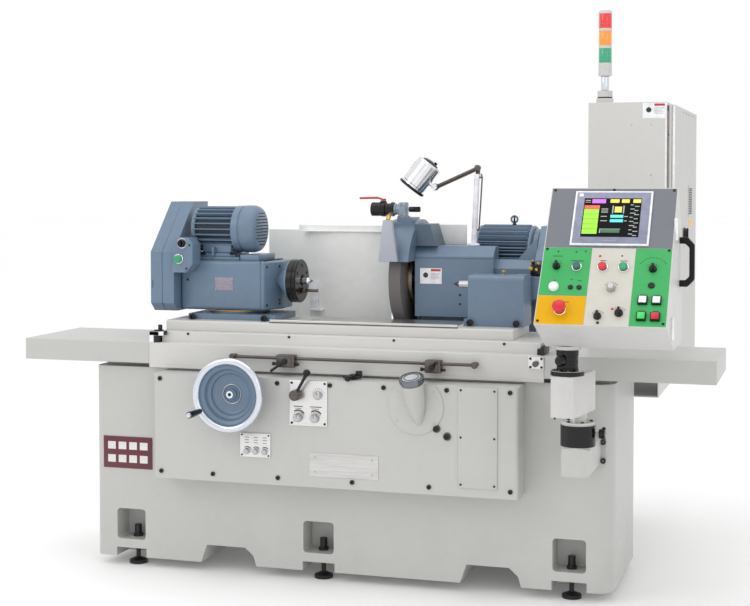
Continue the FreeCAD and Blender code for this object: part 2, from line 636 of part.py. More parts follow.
def headstock_motor():
    shell_right = MOTOR_RIGHT - 122
    shell = rod((MOTOR_LEFT, MOTOR_Y, MOTOR_Z), (shell_right, MOTOR_Y, MOTOR_Z), MOTOR_R - 10)
    bell = rod((shell_right, MOTOR_Y, MOTOR_Z), (MOTOR_RIGHT, MOTOR_Y, MOTOR_Z), MOTOR_R + 10)
    bell = bell.makeFillet(22, [e for e in bell.Edges if e.BoundBox.XMin > MOTOR_RIGHT - 1])
    nose = rod((GUARD_RIGHT, MOTOR_Y, MOTOR_Z), (MOTOR_LEFT, MOTOR_Y, MOTOR_Z), MOTOR_R - 30)
    fins = []
    for i in range(18):
        turn = 360.0 / 18 * i
        fin = box(MOTOR_LEFT + 8, shell_right, MOTOR_Y - 2, MOTOR_Y + 2, MOTOR_Z + MOTOR_R - 16, MOTOR_Z + MOTOR_R + 4)
        fin.rotate(V(0, MOTOR_Y, MOTOR_Z), V(1, 0, 0), turn)
        fins.append(fin)
    foot = box(MOTOR_LEFT + 30, shell_right + 8, MOTOR_Y - 74, MOTOR_Y + 74, HEAD_TOP + 14, HEAD_TOP + 28)
    post = box(MOTOR_LEFT + 44, shell_right - 14, MOTOR_Y - 50, MOTOR_Y + 50, HEAD_TOP + 28, MOTOR_Z - 40)
    bed = box(MOTOR_LEFT, MOTOR_RIGHT - 60, MOTOR_Y - 92, MOTOR_Y + 92, HEAD_TOP, HEAD_TOP + 14)
    return fuse([shell, bell, nose, foot, post, bed] + fins)


KNOB_X = 343.0
KNOB_Z = 1279.0
BUTTON_X = 329.0
BUTTON_Z = 1217.0
BOX_FRONT = 66.0


def guard_outline(x, grow=0.0):
    return [(x, GUARD_FRONT - grow, 1040 - grow), (x, GUARD_FRONT - grow, 1243), (x, 196, 1440 + grow),
            (x, 370, 1440 + grow), (x, 424 + grow, 1380), (x, 424 + grow, 1060), (x, 372, 1008 - grow),
            (x, 120, 1008 - grow)]


def headstock_belt_guard():
    split = (GUARD_LEFT + GUARD_RIGHT) / 2
    outer = prism(guard_outline(GUARD_LEFT), (split - GUARD_LEFT - 2, 0, 0))
    inner = prism(guard_outline(split - 2, -2.5), (4, 0, 0))
    back = prism(guard_outline(split + 2), (GUARD_RIGHT - split - 2, 0, 0))
    case = fuse([outer, inner, back])
    hollow = prism(guard_outline(GUARD_LEFT + 8, -10), (GUARD_RIGHT - GUARD_LEFT - 20, 0, 0))
    control = box(GUARD_RIGHT, GUARD_RIGHT + 74, BOX_FRONT, HEAD_FRONT, 1164, 1300)
    control = control.makeFillet(14, upright_edges(control, [(GUARD_RIGHT + 74, BOX_FRONT)]))
    bore_knob = rod((KNOB_X, BOX_FRONT - 1, KNOB_Z), (KNOB_X, BOX_FRONT + 30, KNOB_Z), 5 + RUNNING)
    bore_button = rod((BUTTON_X, BOX_FRONT - 1, BUTTON_Z), (BUTTON_X, BOX_FRONT + 30, BUTTON_Z), 11 + RUNNING)
    return fuse([case.cut(hollow), control]).cut(bore_knob).cut(bore_button)


def headstock_knob():
    knob = rod((KNOB_X, BOX_FRONT - 22, KNOB_Z), (KNOB_X, BOX_FRONT - GAP, KNOB_Z), 17)
    shaft = rod((KNOB_X, BOX_FRONT - 8, KNOB_Z), (KNOB_X, BOX_FRONT + 24, KNOB_Z), 5)
    return fuse([knob, shaft])


def headstock_button():
    cap = rod((BUTTON_X, BOX_FRONT - 18, BUTTON_Z), (BUTTON_X, BOX_FRONT - 6, BUTTON_Z), 15)
    stem = rod((BUTTON_X, BOX_FRONT - 8, BUTTON_Z), (BUTTON_X, BOX_FRONT + 20, BUTTON_Z), 11)
    return fuse([cap, stem])


# ---------------------------------------------------------------- tailstock
def tailstock_body():
    low = SWIVEL_TOP + OIL_FILM
    body = box(TAIL_LEFT, TAIL_RIGHT, TAIL_FRONT, TAIL_BACK, low, TAIL_TOP)
    body = body.makeFillet(20, row_edges(body, [(TAIL_FRONT, TAIL_TOP), (TAIL_BACK, TAIL_TOP)]))
    nuts = []
    for x in (TAIL_LEFT - 2, TAIL_RIGHT - 36):
        nuts.append(rod((x, TAIL_FRONT - 12, 990), (x, TAIL_FRONT + 6, 990), 11))
    oiler = rod((1603, 210, TAIL_TOP), (1603, 210, TAIL_TOP + 20), 6)
    foot = box(TAIL_LEFT - 16, TAIL_LEFT, TAIL_FRONT, TAIL_BACK, low, low + 26)
    body = fuse([body, oiler, foot] + nuts)
    bore = rod((TAIL_LEFT - 1, CENTRE_Y, CENTRE_Z), (TAIL_LEFT + 150, CENTRE_Y, CENTRE_Z), QUILL_R + RUNNING)
    hollow = box(TAIL_LEFT + 24, TAIL_RIGHT - 20, TAIL_FRONT + 24, TAIL_BACK - 20, low, 1090)
    return body.cut(bore).cut(hollow)


def tailstock_quill():
    quill = rod((QUILL_OUT, CENTRE_Y, CENTRE_Z), (TAIL_LEFT + 110, CENTRE_Y, CENTRE_Z), QUILL_R)
    tip = cone((QUILL_OUT, CENTRE_Y, CENTRE_Z), (TAIL_TIP, CENTRE_Y, CENTRE_Z), QUILL_R - 1.5, 0)
    return fuse([quill, tip])


# ---------------------------------------------------------------- wheelhead
def wheelhead_base():
    block = box(1230, 1560, 600, 1470, BED_TOP, SLIDE_BOTTOM - 30)
    rails = []
    for x in (1240, 1480):
        rails.append(box(x, x + 70, 600, 1470, SLIDE_BOTTOM - 30, SLIDE_BOTTOM - OIL_FILM))
    return fuse([block] + rails)


def wheelhead_housing():
    front = box(HOOD_RIGHT, HOUSE_RIGHT, HOUSE_FRONT, 506, HOUSE_BOTTOM, HOUSE_TOP)
    front = front.makeChamfer(40, row_edges(front, [(HOUSE_FRONT, HOUSE_TOP)]))
    bearing = box(HOOD_RIGHT, 1392, 500, HOUSE_BACK, HOUSE_BOTTOM, HOUSE_TOP)
    deck = box(HOOD_RIGHT + 10, 1680, DECK_FRONT, DECK_BACK, 930, DECK_TOP)
    slide = box(1236, 1554, 560, 1010, SLIDE_BOTTOM, 934)
    case = box(HOUSE_RIGHT, CASE_RIGHT, 428, 590, 1050, CASE_TOP)
    case = case.makeChamfer(34, row_edges(case, [(428, CASE_TOP)]))
    pier = box(1400, 1520, 500, 600, 1060, 1084)
    motor_room = rod((DRIVE_LEFT - 8, DRIVE_Y, DRIVE_Z), (CASE_RIGHT, DRIVE_Y, DRIVE_Z), DRIVE_R + 6)
    body = fuse([front, bearing, deck, slide, case, pier]).cut(motor_room)
    tube_room = rod((HOOD_RIGHT - 1, WHEEL_Y, CENTRE_Z), (CASE_RIGHT + 1, WHEEL_Y, CENTRE_Z), SPINDLE_R + RUNNING)
    return body.cut(tube_room)


def wheelhead_motor():
    shell = rod((DRIVE_LEFT, DRIVE_Y, DRIVE_Z), (DRIVE_RIGHT, DRIVE_Y, DRIVE_Z), DRIVE_R - 12)
    fins = []
    for i in range(28):
        fin = box(DRIVE_LEFT + 16, DRIVE_RIGHT - 40, DRIVE_Y - 2.5, DRIVE_Y + 2.5, DRIVE_Z + DRIVE_R - 18,
                  DRIVE_Z + DRIVE_R + 1)
        fin.rotate(V(0, DRIVE_Y, DRIVE_Z), V(1, 0, 0), 360.0 / 28 * i)
        fins.append(fin)
    foot = box(DRIVE_LEFT + 60, DRIVE_RIGHT - 60, DRIVE_Y - 40, DRIVE_Y + 40, DECK_TOP, DRIVE_Z - DRIVE_R + 20)
    bolt = rod((1548, DRIVE_Y, DRIVE_Z + DRIVE_R - 14), (1548, DRIVE_Y, DRIVE_Z + DRIVE_R + 14), 6)
    eye = Part.makeTorus(13, 4, V(1548, DRIVE_Y, DRIVE_Z + DRIVE_R + 26), V(0, 1, 0))
    return fuse([shell, foot, bolt, eye] + fins)


def wheelhead_belt_guard():
    outline = [(CASE_RIGHT, 430, 1040), (CASE_RIGHT, 430, 1214), (CASE_RIGHT, 560, 1344), (CASE_RIGHT, 760, 1344),
               (CASE_RIGHT, 800, 1300), (CASE_RIGHT, 800, 1120), (CASE_RIGHT, 700, 1040)]
    case = prism(outline, (86, 0, 0))
    inside = [(CASE_RIGHT + 8, 442, 1052), (CASE_RIGHT + 8, 442, 1209), (CASE_RIGHT + 8, 565, 1332),
              (CASE_RIGHT + 8, 755, 1332), (CASE_RIGHT + 8, 788, 1295), (CASE_RIGHT + 8, 788, 1126),
              (CASE_RIGHT + 8, 694, 1052)]
    case = case.cut(prism(inside, (70, 0, 0)))
    ear = prism([(1604, 440, CASE_TOP), (CASE_RIGHT, 440, CASE_TOP), (CASE_RIGHT, 440, 1300)], (0, 8, 0))
    ear.translate(V(0, 28, 0))
    hole = rod((CASE_RIGHT - 1, WHEEL_Y, CENTRE_Z), (CASE_RIGHT + 9, WHEEL_Y, CENTRE_Z), SPINDLE_R + 6)
    return fuse([case, ear]).cut(hole)


def wheel_guard():
    axis = (WHEEL_Y, CENTRE_Z)
    drum = rod((HOOD_LEFT, *axis), (HOOD_RIGHT, *axis), HOOD_R)
    room = rod((HOOD_LEFT + HOOD_WALL, *axis), (HOOD_RIGHT - HOOD_WALL, *axis), WHEEL_R + 10)
    front = box(HOOD_LEFT - 1, HOOD_RIGHT + 1, WHEEL_Y - 300, WHEEL_Y - 44, 800, 1206)
    under = box(HOOD_LEFT - 1, HOOD_RIGHT + 1, WHEEL_Y - 300, WHEEL_Y + 300, 800, 914)
    spindle_hole = rod((HOOD_RIGHT - 20, *axis), (HOOD_RIGHT + 1, *axis), FLANGE_R + 8)
    shoulder = prism([(HOOD_RIGHT - 4, 410, 1250), (HOOD_RIGHT - 4, 410, 1352), (HOOD_RIGHT + 60, 410, 1352),
                      (HOOD_RIGHT + 86, 410, HOUSE_TOP), (HOOD_RIGHT, 410, HOUSE_TOP), (HOOD_RIGHT, 410, 1250)],
                     (0, 150, 0))
    crest = box(HOOD_LEFT + 30, HOOD_LEFT + 92, 440, 560, 1330, 1378)
    plate = box(1196, 1356, 640, 646, HOUSE_TOP - 60, 1345)
    leg = box(HOOD_RIGHT, 1356, HOUSE_BACK, 640, HOUSE_TOP - 60, HOUSE_TOP - 50)
    hood = fuse([drum, crest, shoulder]).cut(room).cut(front).cut(under).cut(spindle_hole)
    return fuse([hood, plate, leg])


def grinding_wheel():
    axis = (WHEEL_Y, CENTRE_Z)
    disc = rod((WHEEL_LEFT, *axis), (WHEEL_RIGHT, *axis), WHEEL_R)
    return disc.cut(rod((WHEEL_LEFT, *axis), (WHEEL_RIGHT, *axis), WHEEL_BORE_R))


def wheel_spindle():
    axis = (WHEEL_Y, CENTRE_Z)
    hub = rod((WHEEL_LEFT, *axis), (WHEEL_RIGHT, *axis), WHEEL_BORE_R)
    inner = rod((WHEEL_RIGHT, *axis), (WHEEL_RIGHT + 18, *axis), FLANGE_R)
    outer = rod((WHEEL_LEFT - 12, *axis), (WHEEL_LEFT, *axis), FLANGE_R)
    shaft = rod((WHEEL_RIGHT, *axis), (SPINDLE_END, *axis), SPINDLE_R)
    pulley = rod((CASE_RIGHT + 16, *axis), (CASE_RIGHT + 54, *axis), 56)
    return fuse([hub, inner, outer, shaft, pulley])


VALVE_Z = 1410.0
VALVE_Y = 470.0


def coolant_valve():
    body = rod((1004, VALVE_Y, VALVE_Z), (1086, VALVE_Y, VALVE_Z), 27)
    neck = rod((1086, VALVE_Y, VALVE_Z), (1146, VALVE_Y, VALVE_Z), 20)
    elbow = box(1108, 1152, VALVE_Y - 26, VALVE_Y + 26, 1378, VALVE_Z + 26)
    stub = rod((1152, VALVE_Y, VALVE_Z), (1206, VALVE_Y, VALVE_Z), 10)
    bonnet = rod((1050, VALVE_Y, VALVE_Z), (1050, VALVE_Y, VALVE_Z + 34), 14)
    drop = rod((1088, VALVE_Y, VALVE_Z - 6), (1088, 330, 1360), 11)
    low = nozzle_section(1098, 284, 1206, 36, 10)
    high = nozzle_section(1088, 330, 1372, 14, 12)
    nozzle = Part.makeLoft([low, high], True)
    return fuse([body, neck, elbow, stub, bonnet, drop, nozzle])


def nozzle_section(x, y, z, half_width, half_depth):
    points = [V(x - half_width, y - half_depth, z), V(x + half_width, y - half_depth, z),
              V(x + half_width, y + half_depth, z), V(x - half_width, y + half_depth, z)]
    return Part.makePolygon(points + [points[0]])


def valve_lever():
    low = VALVE_Z + 34 + GAP
    hub = rod((1050, VALVE_Y, low), (1050, VALVE_Y, low + 8), 11)
    crank = rod((1050, VALVE_Y, low + 4), (1026, VALVE_Y, low + 12), 4)
    bar = rod((1026, VALVE_Y, low + 12), (950, VALVE_Y, low + 10), 4.5)
    return fuse([hub, crank, bar])


# ---------------------------------------------------------------- lamp
LAMP_X = 1423.0
LAMP_Y = 484.0
ELBOW = (1436.0, 484.0, 1576.0)
KNUCKLE = (1272.0, 450.0, 1500.0)
LAMP_AXIS = (-0.60, -0.12, -0.79)
LAMP_BACK = (1246.0, 442.0, 1590.0)
LAMP_LENGTH = 118.0
LAMP_R = 50.0


def lamp_post():
    foot = rod((LAMP_X, LAMP_Y, HOUSE_TOP + GAP), (LAMP_X, LAMP_Y, HOUSE_TOP + 16), 22)
    bar = rod((LAMP_X, LAMP_Y, HOUSE_TOP + 16), (ELBOW[0] - 1, LAMP_Y, ELBOW[2] - 20), 9)
    tie = rod((LAMP_X + 20, LAMP_Y, HOUSE_TOP + 60), (ELBOW[0] + 20, LAMP_Y, ELBOW[2] - 36), 3)
    low_clip = rod((LAMP_X, LAMP_Y, HOUSE_TOP + 66), (LAMP_X + 22, LAMP_Y, HOUSE_TOP + 66), 4)
    top_clip = rod((ELBOW[0] - 2, LAMP_Y, ELBOW[2] - 40), (ELBOW[0] + 22, LAMP_Y, ELBOW[2] - 40), 4)
    fork = rod((ELBOW[0], ELBOW[1] + 6, ELBOW[2]), (ELBOW[0], ELBOW[1] + 16, ELBOW[2]), 11)
    cheek = box(ELBOW[0] - 9, ELBOW[0] + 9, ELBOW[1] + 6, ELBOW[1] + 14, ELBOW[2] - 40, ELBOW[2])
    return fuse([foot, bar, tie, low_clip, top_clip, fork, cheek])


def lamp_arm():
    eye = rod((ELBOW[0], ELBOW[1] - 8, ELBOW[2]), (ELBOW[0], ELBOW[1] + 6 - GAP, ELBOW[2]), 11)
    bar = rod((ELBOW[0], ELBOW[1], ELBOW[2]), KNUCKLE, 6)
    x, y, z = KNUCKLE
    knuckle = rod((x, y - 12, z), (x, y + 12, z), 13)
    return fuse([eye, bar, knuckle])


def lamp_head():
    axis = V(*LAMP_AXIS).normalize()
    back = V(*LAMP_BACK)
    front = back + axis * LAMP_LENGTH
    can = Part.makeCylinder(LAMP_R, LAMP_LENGTH, back, axis)
    ring = Part.makeCylinder(LAMP_R + 5, 9, front, axis)
    room = Part.makeCylinder(LAMP_R - 4, LAMP_LENGTH - 16, back + axis * 28, axis)
    x, y, z = KNUCKLE
    lug = rod((x, y - 12 - GAP, z), (x, y - 24, z), 12)
    stay = rod((x, y - 20, z), (x - 36, y - 22, z + 28), 5)
    return fuse([can, ring, stay, lug]).cut(room)


# ---------------------------------------------------------------- pendant
def turned(shape, angle=ARM_TURN, x=COLLAR_X, y=COLLAR_Y):
    shape.rotate(V(x, y, 0), V(0, 0, 1), angle)
    return shape


def pendant_bracket():
    beam = box(COLLAR_X - 48, COLLAR_X + 48, COLLAR_Y - 60, 0, 512, COLLAR_BOTTOM)
    beam = beam.makeFillet(9, [e for e in beam.Edges if e.BoundBox.YLength > 100])
    flange = box(COLLAR_X - 48, COLLAR_X + 66, -12, 0, 500, COLLAR_BOTTOM + 6)
    bolts = []
    for z in (524, 592):
        bolts.append(rod((COLLAR_X + 57, -20, z), (COLLAR_X + 57, -12, z), 7))
    ring = rod((COLLAR_X, COLLAR_Y, COLLAR_BOTTOM), (COLLAR_X, COLLAR_Y, COLLAR_TOP), COLLAR_R)
    ring = ring.cut(rod((COLLAR_X, COLLAR_Y, COLLAR_BOTTOM), (COLLAR_X, COLLAR_Y, COLLAR_TOP), 30 + RUNNING))
    screw = rod((COLLAR_X + COLLAR_R - 8, COLLAR_Y, 656), (COLLAR_X + COLLAR_R + 20, COLLAR_Y, 656), 5)
    knob = rod((COLLAR_X + COLLAR_R + 14, COLLAR_Y, 656), (COLLAR_X + COLLAR_R + 34, COLLAR_Y, 656), 16)
    return fuse([beam, flange, ring, screw, knob] + bolts)


def pendant_arm():
    x, y = COLLAR_X, COLLAR_Y
    tube = box(x - ARM_WIDTH / 2, x + ARM_WIDTH / 2, y - ARM_REACH, y + ARM_BACK, ARM_BOTTOM, ARM_TOP)
    inside = box(x - ARM_WIDTH / 2 + 4, x + ARM_WIDTH / 2 - 4, y - ARM_REACH + 4, y + ARM_BACK, ARM_BOTTOM + 4,
                 ARM_TOP - 4)
    disc = rod((x, y, COLLAR_TOP + GAP), (x, y, COLLAR_TOP + 8), COLLAR_R - 2)
    post = rod((x, y, COLLAR_BOTTOM + 4), (x, y, ARM_BOTTOM + 6), 30)
    gusset = box(x - 4, x + 4, y - 52, y + 52, COLLAR_TOP + 8, ARM_BOTTOM)
    flange = rod((x, y - SWIVEL_REACH, ARM_TOP), (x, y - SWIVEL_REACH, ARM_TOP + 18), 56)
    socket_ = rod((x, y - SWIVEL_REACH, ARM_TOP + 18), (x, y - SWIVEL_REACH, PENDANT_BOTTOM - 12), SWIVEL_R)
    bore = rod((x, y - SWIVEL_REACH, ARM_TOP + 24), (x, y - SWIVEL_REACH, PENDANT_BOTTOM), 22 + RUNNING)
    knob = rod((x - 8, y - SWIVEL_REACH - SWIVEL_R - 30, 922), (x - 8, y - SWIVEL_REACH - SWIVEL_R + 12, 922), 9)
    whole = fuse([tube.cut(inside), disc, post, gusset, flange, socket_, knob]).cut(bore)
    return turned(whole)


def swivel_place():
    turn = math.radians(ARM_TURN)
    return COLLAR_X + SWIVEL_REACH * math.sin(turn), COLLAR_Y - SWIVEL_REACH * math.cos(turn)


def pendant_side(x):
    return [(x, PENDANT_LIP_Y, PENDANT_LIP_Z), (x, PENDANT_TOP_Y, PENDANT_TOP_Z), (x, PENDANT_TOP_Y + 22, PENDANT_TOP_Z),
            (x, PENDANT_BACK, PENDANT_TOP_Z - 190), (x, PENDANT_BACK, PENDANT_BOTTOM),
            (x, PENDANT_BOTTOM_Y, PENDANT_BOTTOM)]


def pendant_room(wall):
    corners = [(y, z) for _, y, z in pendant_side(0)]
    room = []
    for i, (y, z) in enumerate(corners):
        before = corners[i - 1]
        after = corners[(i + 1) % len(corners)]
        first = inward(before, (y, z), wall)
        second = inward((y, z), after, wall)
        room.append(crossing(first, second))
    return room


def inward(start, end, wall):
    run, rise = end[0] - start[0], end[1] - start[1]
    length = math.hypot(run, rise)
    shift = (rise / length * wall, -run / length * wall)
    return (start[0] + shift[0], start[1] + shift[1]), (run / length, rise / length)


def crossing(first, second):
    (y1, z1), (u1, w1) = first
    (y2, z2), (u2, w2) = second
    along = ((y2 - y1) * w2 - (z2 - z1) * u2) / (u1 * w2 - w1 * u2)
    return y1 + along * u1, z1 + along * w1


FACE_RUN = PENDANT_TOP_Y - PENDANT_LIP_Y
FACE_RISE = PENDANT_TOP_Z - PENDANT_LIP_Z
FACE_LENGTH = math.hypot(FACE_RUN, FACE_RISE)
FACE_UP = V(0, FACE_RUN / FACE_LENGTH, FACE_RISE / FACE_LENGTH)
FACE_OUT = V(0, -FACE_RISE / FACE_LENGTH, FACE_RUN / FACE_LENGTH)


def on_face(across, up, out=0.0):
    corner = V(PENDANT_LEFT, PENDANT_LIP_Y, PENDANT_LIP_Z)
    return corner + V(across, 0, 0) + FACE_UP * up + FACE_OUT * out


def face_rod(across, up, low, high, radius):
    return Part.makeCylinder(radius, high - low, on_face(across, up, low), FACE_OUT)


def face_slab(across0, across1, up0, up1, low, high):
    corners = [on_face(across0, up0, low), on_face(across1, up0, low), on_face(across1, up1, low),
               on_face(across0, up1, low)]
    return Part.Face(Part.makePolygon(corners + [corners[0]])).extrude(FACE_OUT * (high - low))


CONTROLS = {
    "mode_selector": (50.0, 226.0, 13.0, 24.0),
    "jog_button": (117.0, 226.0, 13.0, 12.0),
    "stop_button": (202.0, 226.0, 14.0, 12.0),
    "start_button": (270.0, 226.0, 14.0, 12.0),
    "feed_selector": (365.0, 221.0, 13.0, 24.0),
    "override_knob": (237.0, 144.0, 15.0, 18.0),
    "cycle_selector": (270.0, 50.0, 14.0, 24.0),
    "offset_knob": (203.0, 36.0, 13.0, 24.0),
    "estop_button": (80.0, 56.0, 22.0, 30.0),
}
STEM_R = 7.0
SQUARE_PLACES = ((342.0, 99.0), (386.0, 99.0), (342.0, 38.0), (386.0, 38.0))
SQUARE_HALF = 15.0


def pendant_box():
    width = PENDANT_RIGHT - PENDANT_LEFT
    shell = prism(pendant_side(PENDANT_LEFT), (width, 0, 0))
    wall = PENDANT_WALL
    hollow = prism([(PENDANT_LEFT + wall, y, z) for y, z in pendant_room(wall)], (width - 2 * wall, 0, 0))
    x, y = swivel_place()
    spigot = rod((x, y, ARM_TOP + 34), (x, y, PENDANT_BOTTOM + 4), 22)
    pad = rod((x, y, PENDANT_BOTTOM - 10), (x, y, PENDANT_BOTTOM + 2), 46)
    body = fuse([shell.cut(hollow), spigot, pad])
    right = PENDANT_RIGHT
    grip = rod((right + 42, -190, 1180), (right + 42, -190, 1320), 8)
    legs = [rod((right - 1, -190, z), (right + 42, -190, z), 8) for z in (1180, 1320)]
    squares = []
    for across, up in SQUARE_PLACES:
        squares.append(face_slab(across - SQUARE_HALF, across + SQUARE_HALF, up - SQUARE_HALF, up + SQUARE_HALF, 0, 9))
    body = fuse([body, grip] + legs + squares)
    holes = [face_rod(a, u, -20, 4, STEM_R + RUNNING) for a, u, _, _ in CONTROLS.values()]
    return body.cut(Part.makeCompound(holes))


def operator_screen():
    bezel = face_slab(84, 345, 310, 533, 0, 8)
    glass = face_slab(117, 309, 342, 501, 8, 9)
    return fuse([bezel, glass])


def round_control(name):
    across, up, radius, height = CONTROLS[name]
    stem = face_rod(across, up, -16, 6, STEM_R)
    if name == "estop_button":
        neck = face_rod(across, up, 7, 20, 13)
        cap = face_rod(across, up, 16, height + 4, radius)
        cap = cap.makeFillet(5, cap.Edges[0:1])
        return fuse([stem, neck, cap])
    lift = 5.0 if name.endswith("button") else GAP
    cap = face_rod(across, up, lift, height + 4, radius)
    if name.endswith("selector") or name == "offset_knob":
        low = face_rod(across, up, lift, 10, radius)
        bar = face_slab(across - 4, across + 4, up - radius, up + radius, 8, height)
        cap = fuse([low, bar])
    return fuse([stem, cap])


def build_nodes():
    nodes = {
        "bed_casting": bed_casting(), "leveling_feet": leveling_feet(), "apron_cover": apron_cover(),
        "front_plates": front_plates(), "front_screws": front_screws(), "oil_sight": oil_sight(),
        "splash_guard": splash_guard(), "cabinet_body": cabinet_body(), "cabinet_door": cabinet_door(),
        "main_switch": main_switch(), "signal_post": signal_post(), "signal_lenses": signal_lenses(),
        "handwheel": handwheel(), "start_lever": start_lever(), "reversing_lever": reversing_lever(),
        "lower_table": lower_table(), "table_wings": table_wings(), "dog_rail": dog_rail(),
        "left_dog": trip_dog(789, 862, 786, 820), "right_dog": trip_dog(1369, 1430, 1424, 872),
        "swivel_clamps": swivel_clamps(), "upper_table": upper_table(), "headstock_base": headstock_base(),
        "headstock_body": headstock_body(), "headstock_belt_guard": headstock_belt_guard(),
        "headstock_motor": headstock_motor(), "drive_plate": drive_plate(), "headstock_centre": headstock_centre(),
        "headstock_knob": headstock_knob(), "headstock_button": headstock_button(),
        "tailstock_body": tailstock_body(), "tailstock_quill": tailstock_quill(),
        "wheelhead_base": wheelhead_base(), "wheelhead_housing": wheelhead_housing(),
        "wheelhead_motor": wheelhead_motor(), "wheelhead_belt_guard": wheelhead_belt_guard(),
        "wheel_guard": wheel_guard(), "grinding_wheel": grinding_wheel(), "wheel_spindle": wheel_spindle(),
        "coolant_valve": coolant_valve(), "valve_lever": valve_lever(), "lamp_post": lamp_post(),
        "lamp_arm": lamp_arm(), "lamp_head": lamp_head(), "pendant_bracket": pendant_bracket(),
        "pendant_arm": pendant_arm(), "pendant_box": pendant_box(), "operator_screen": operator_screen(),
    }
    for name in KNOBS:
        nodes[name] = panel_knob(name)
    for name in CONTROLS:
        nodes[name] = round_control(name)
    return nodes


os.makedirs("parts", exist_ok=True)
for node, shape in build_nodes().items():
    shape.translate(V(-ORIGIN_X, -ORIGIN_Y, 0))
    shape.exportStep("parts/" + node + ".step")
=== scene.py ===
import json
import math
import bmesh
import bpy
from mathutils import Matrix, Vector


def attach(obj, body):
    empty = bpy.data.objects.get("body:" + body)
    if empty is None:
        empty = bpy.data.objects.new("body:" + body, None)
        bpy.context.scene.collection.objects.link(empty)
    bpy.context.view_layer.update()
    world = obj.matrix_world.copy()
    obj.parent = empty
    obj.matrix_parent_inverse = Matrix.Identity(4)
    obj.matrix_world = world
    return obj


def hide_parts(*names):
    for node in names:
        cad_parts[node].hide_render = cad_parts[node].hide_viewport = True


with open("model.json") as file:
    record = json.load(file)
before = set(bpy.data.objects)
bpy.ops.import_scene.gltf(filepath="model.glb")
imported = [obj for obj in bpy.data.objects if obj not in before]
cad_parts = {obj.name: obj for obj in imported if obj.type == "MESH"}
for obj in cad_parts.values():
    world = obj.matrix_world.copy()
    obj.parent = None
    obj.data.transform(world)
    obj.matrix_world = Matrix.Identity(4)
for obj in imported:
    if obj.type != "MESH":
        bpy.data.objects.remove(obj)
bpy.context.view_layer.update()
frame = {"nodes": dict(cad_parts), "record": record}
HOME = {node: body for body, nodes in frame["record"]["behaviour"]["bodies"].items() for node in nodes}

# Shapes are drawn in millimetres, with X from the bed's left end, Y from its front face
# and Z from the floor. This matrix sets them down in the row's frame, in metres.
SET_DOWN = Matrix.Scale(0.001, 4) @ Matrix.Translation((-1056.0, -513.0, 0.0))


def facing_front(y):
    """Across, up and out on a face that looks at the operator."""
    return Matrix(((1, 0, 0, 0), (0, 0, -1, y), (0, 1, 0, 0), (0, 0, 0, 1)))


def facing_right(x):
    """Across, up and out on a face that looks to the machine's right end."""
    return Matrix(((0, 0, 1, x), (1, 0, 0, 0), (0, 1, 0, 0), (0, 0, 0, 1)))


# Edges flatter than these angles are one face, a smooth curve or left without an eased edge.
ONE_FACE = math.radians(0.6)
SMOOTH_CAD = math.radians(32)
SMOOTH_PIECE = math.radians(29)
EASED_FROM = math.radians(40)

# Ways to turn a profile. OUT is out of a face, or up in the machine's own frame.
OUT = (0, 0, 1)
RIGHT = (1, 0, 0)
NEAR = (0, -1, 0)


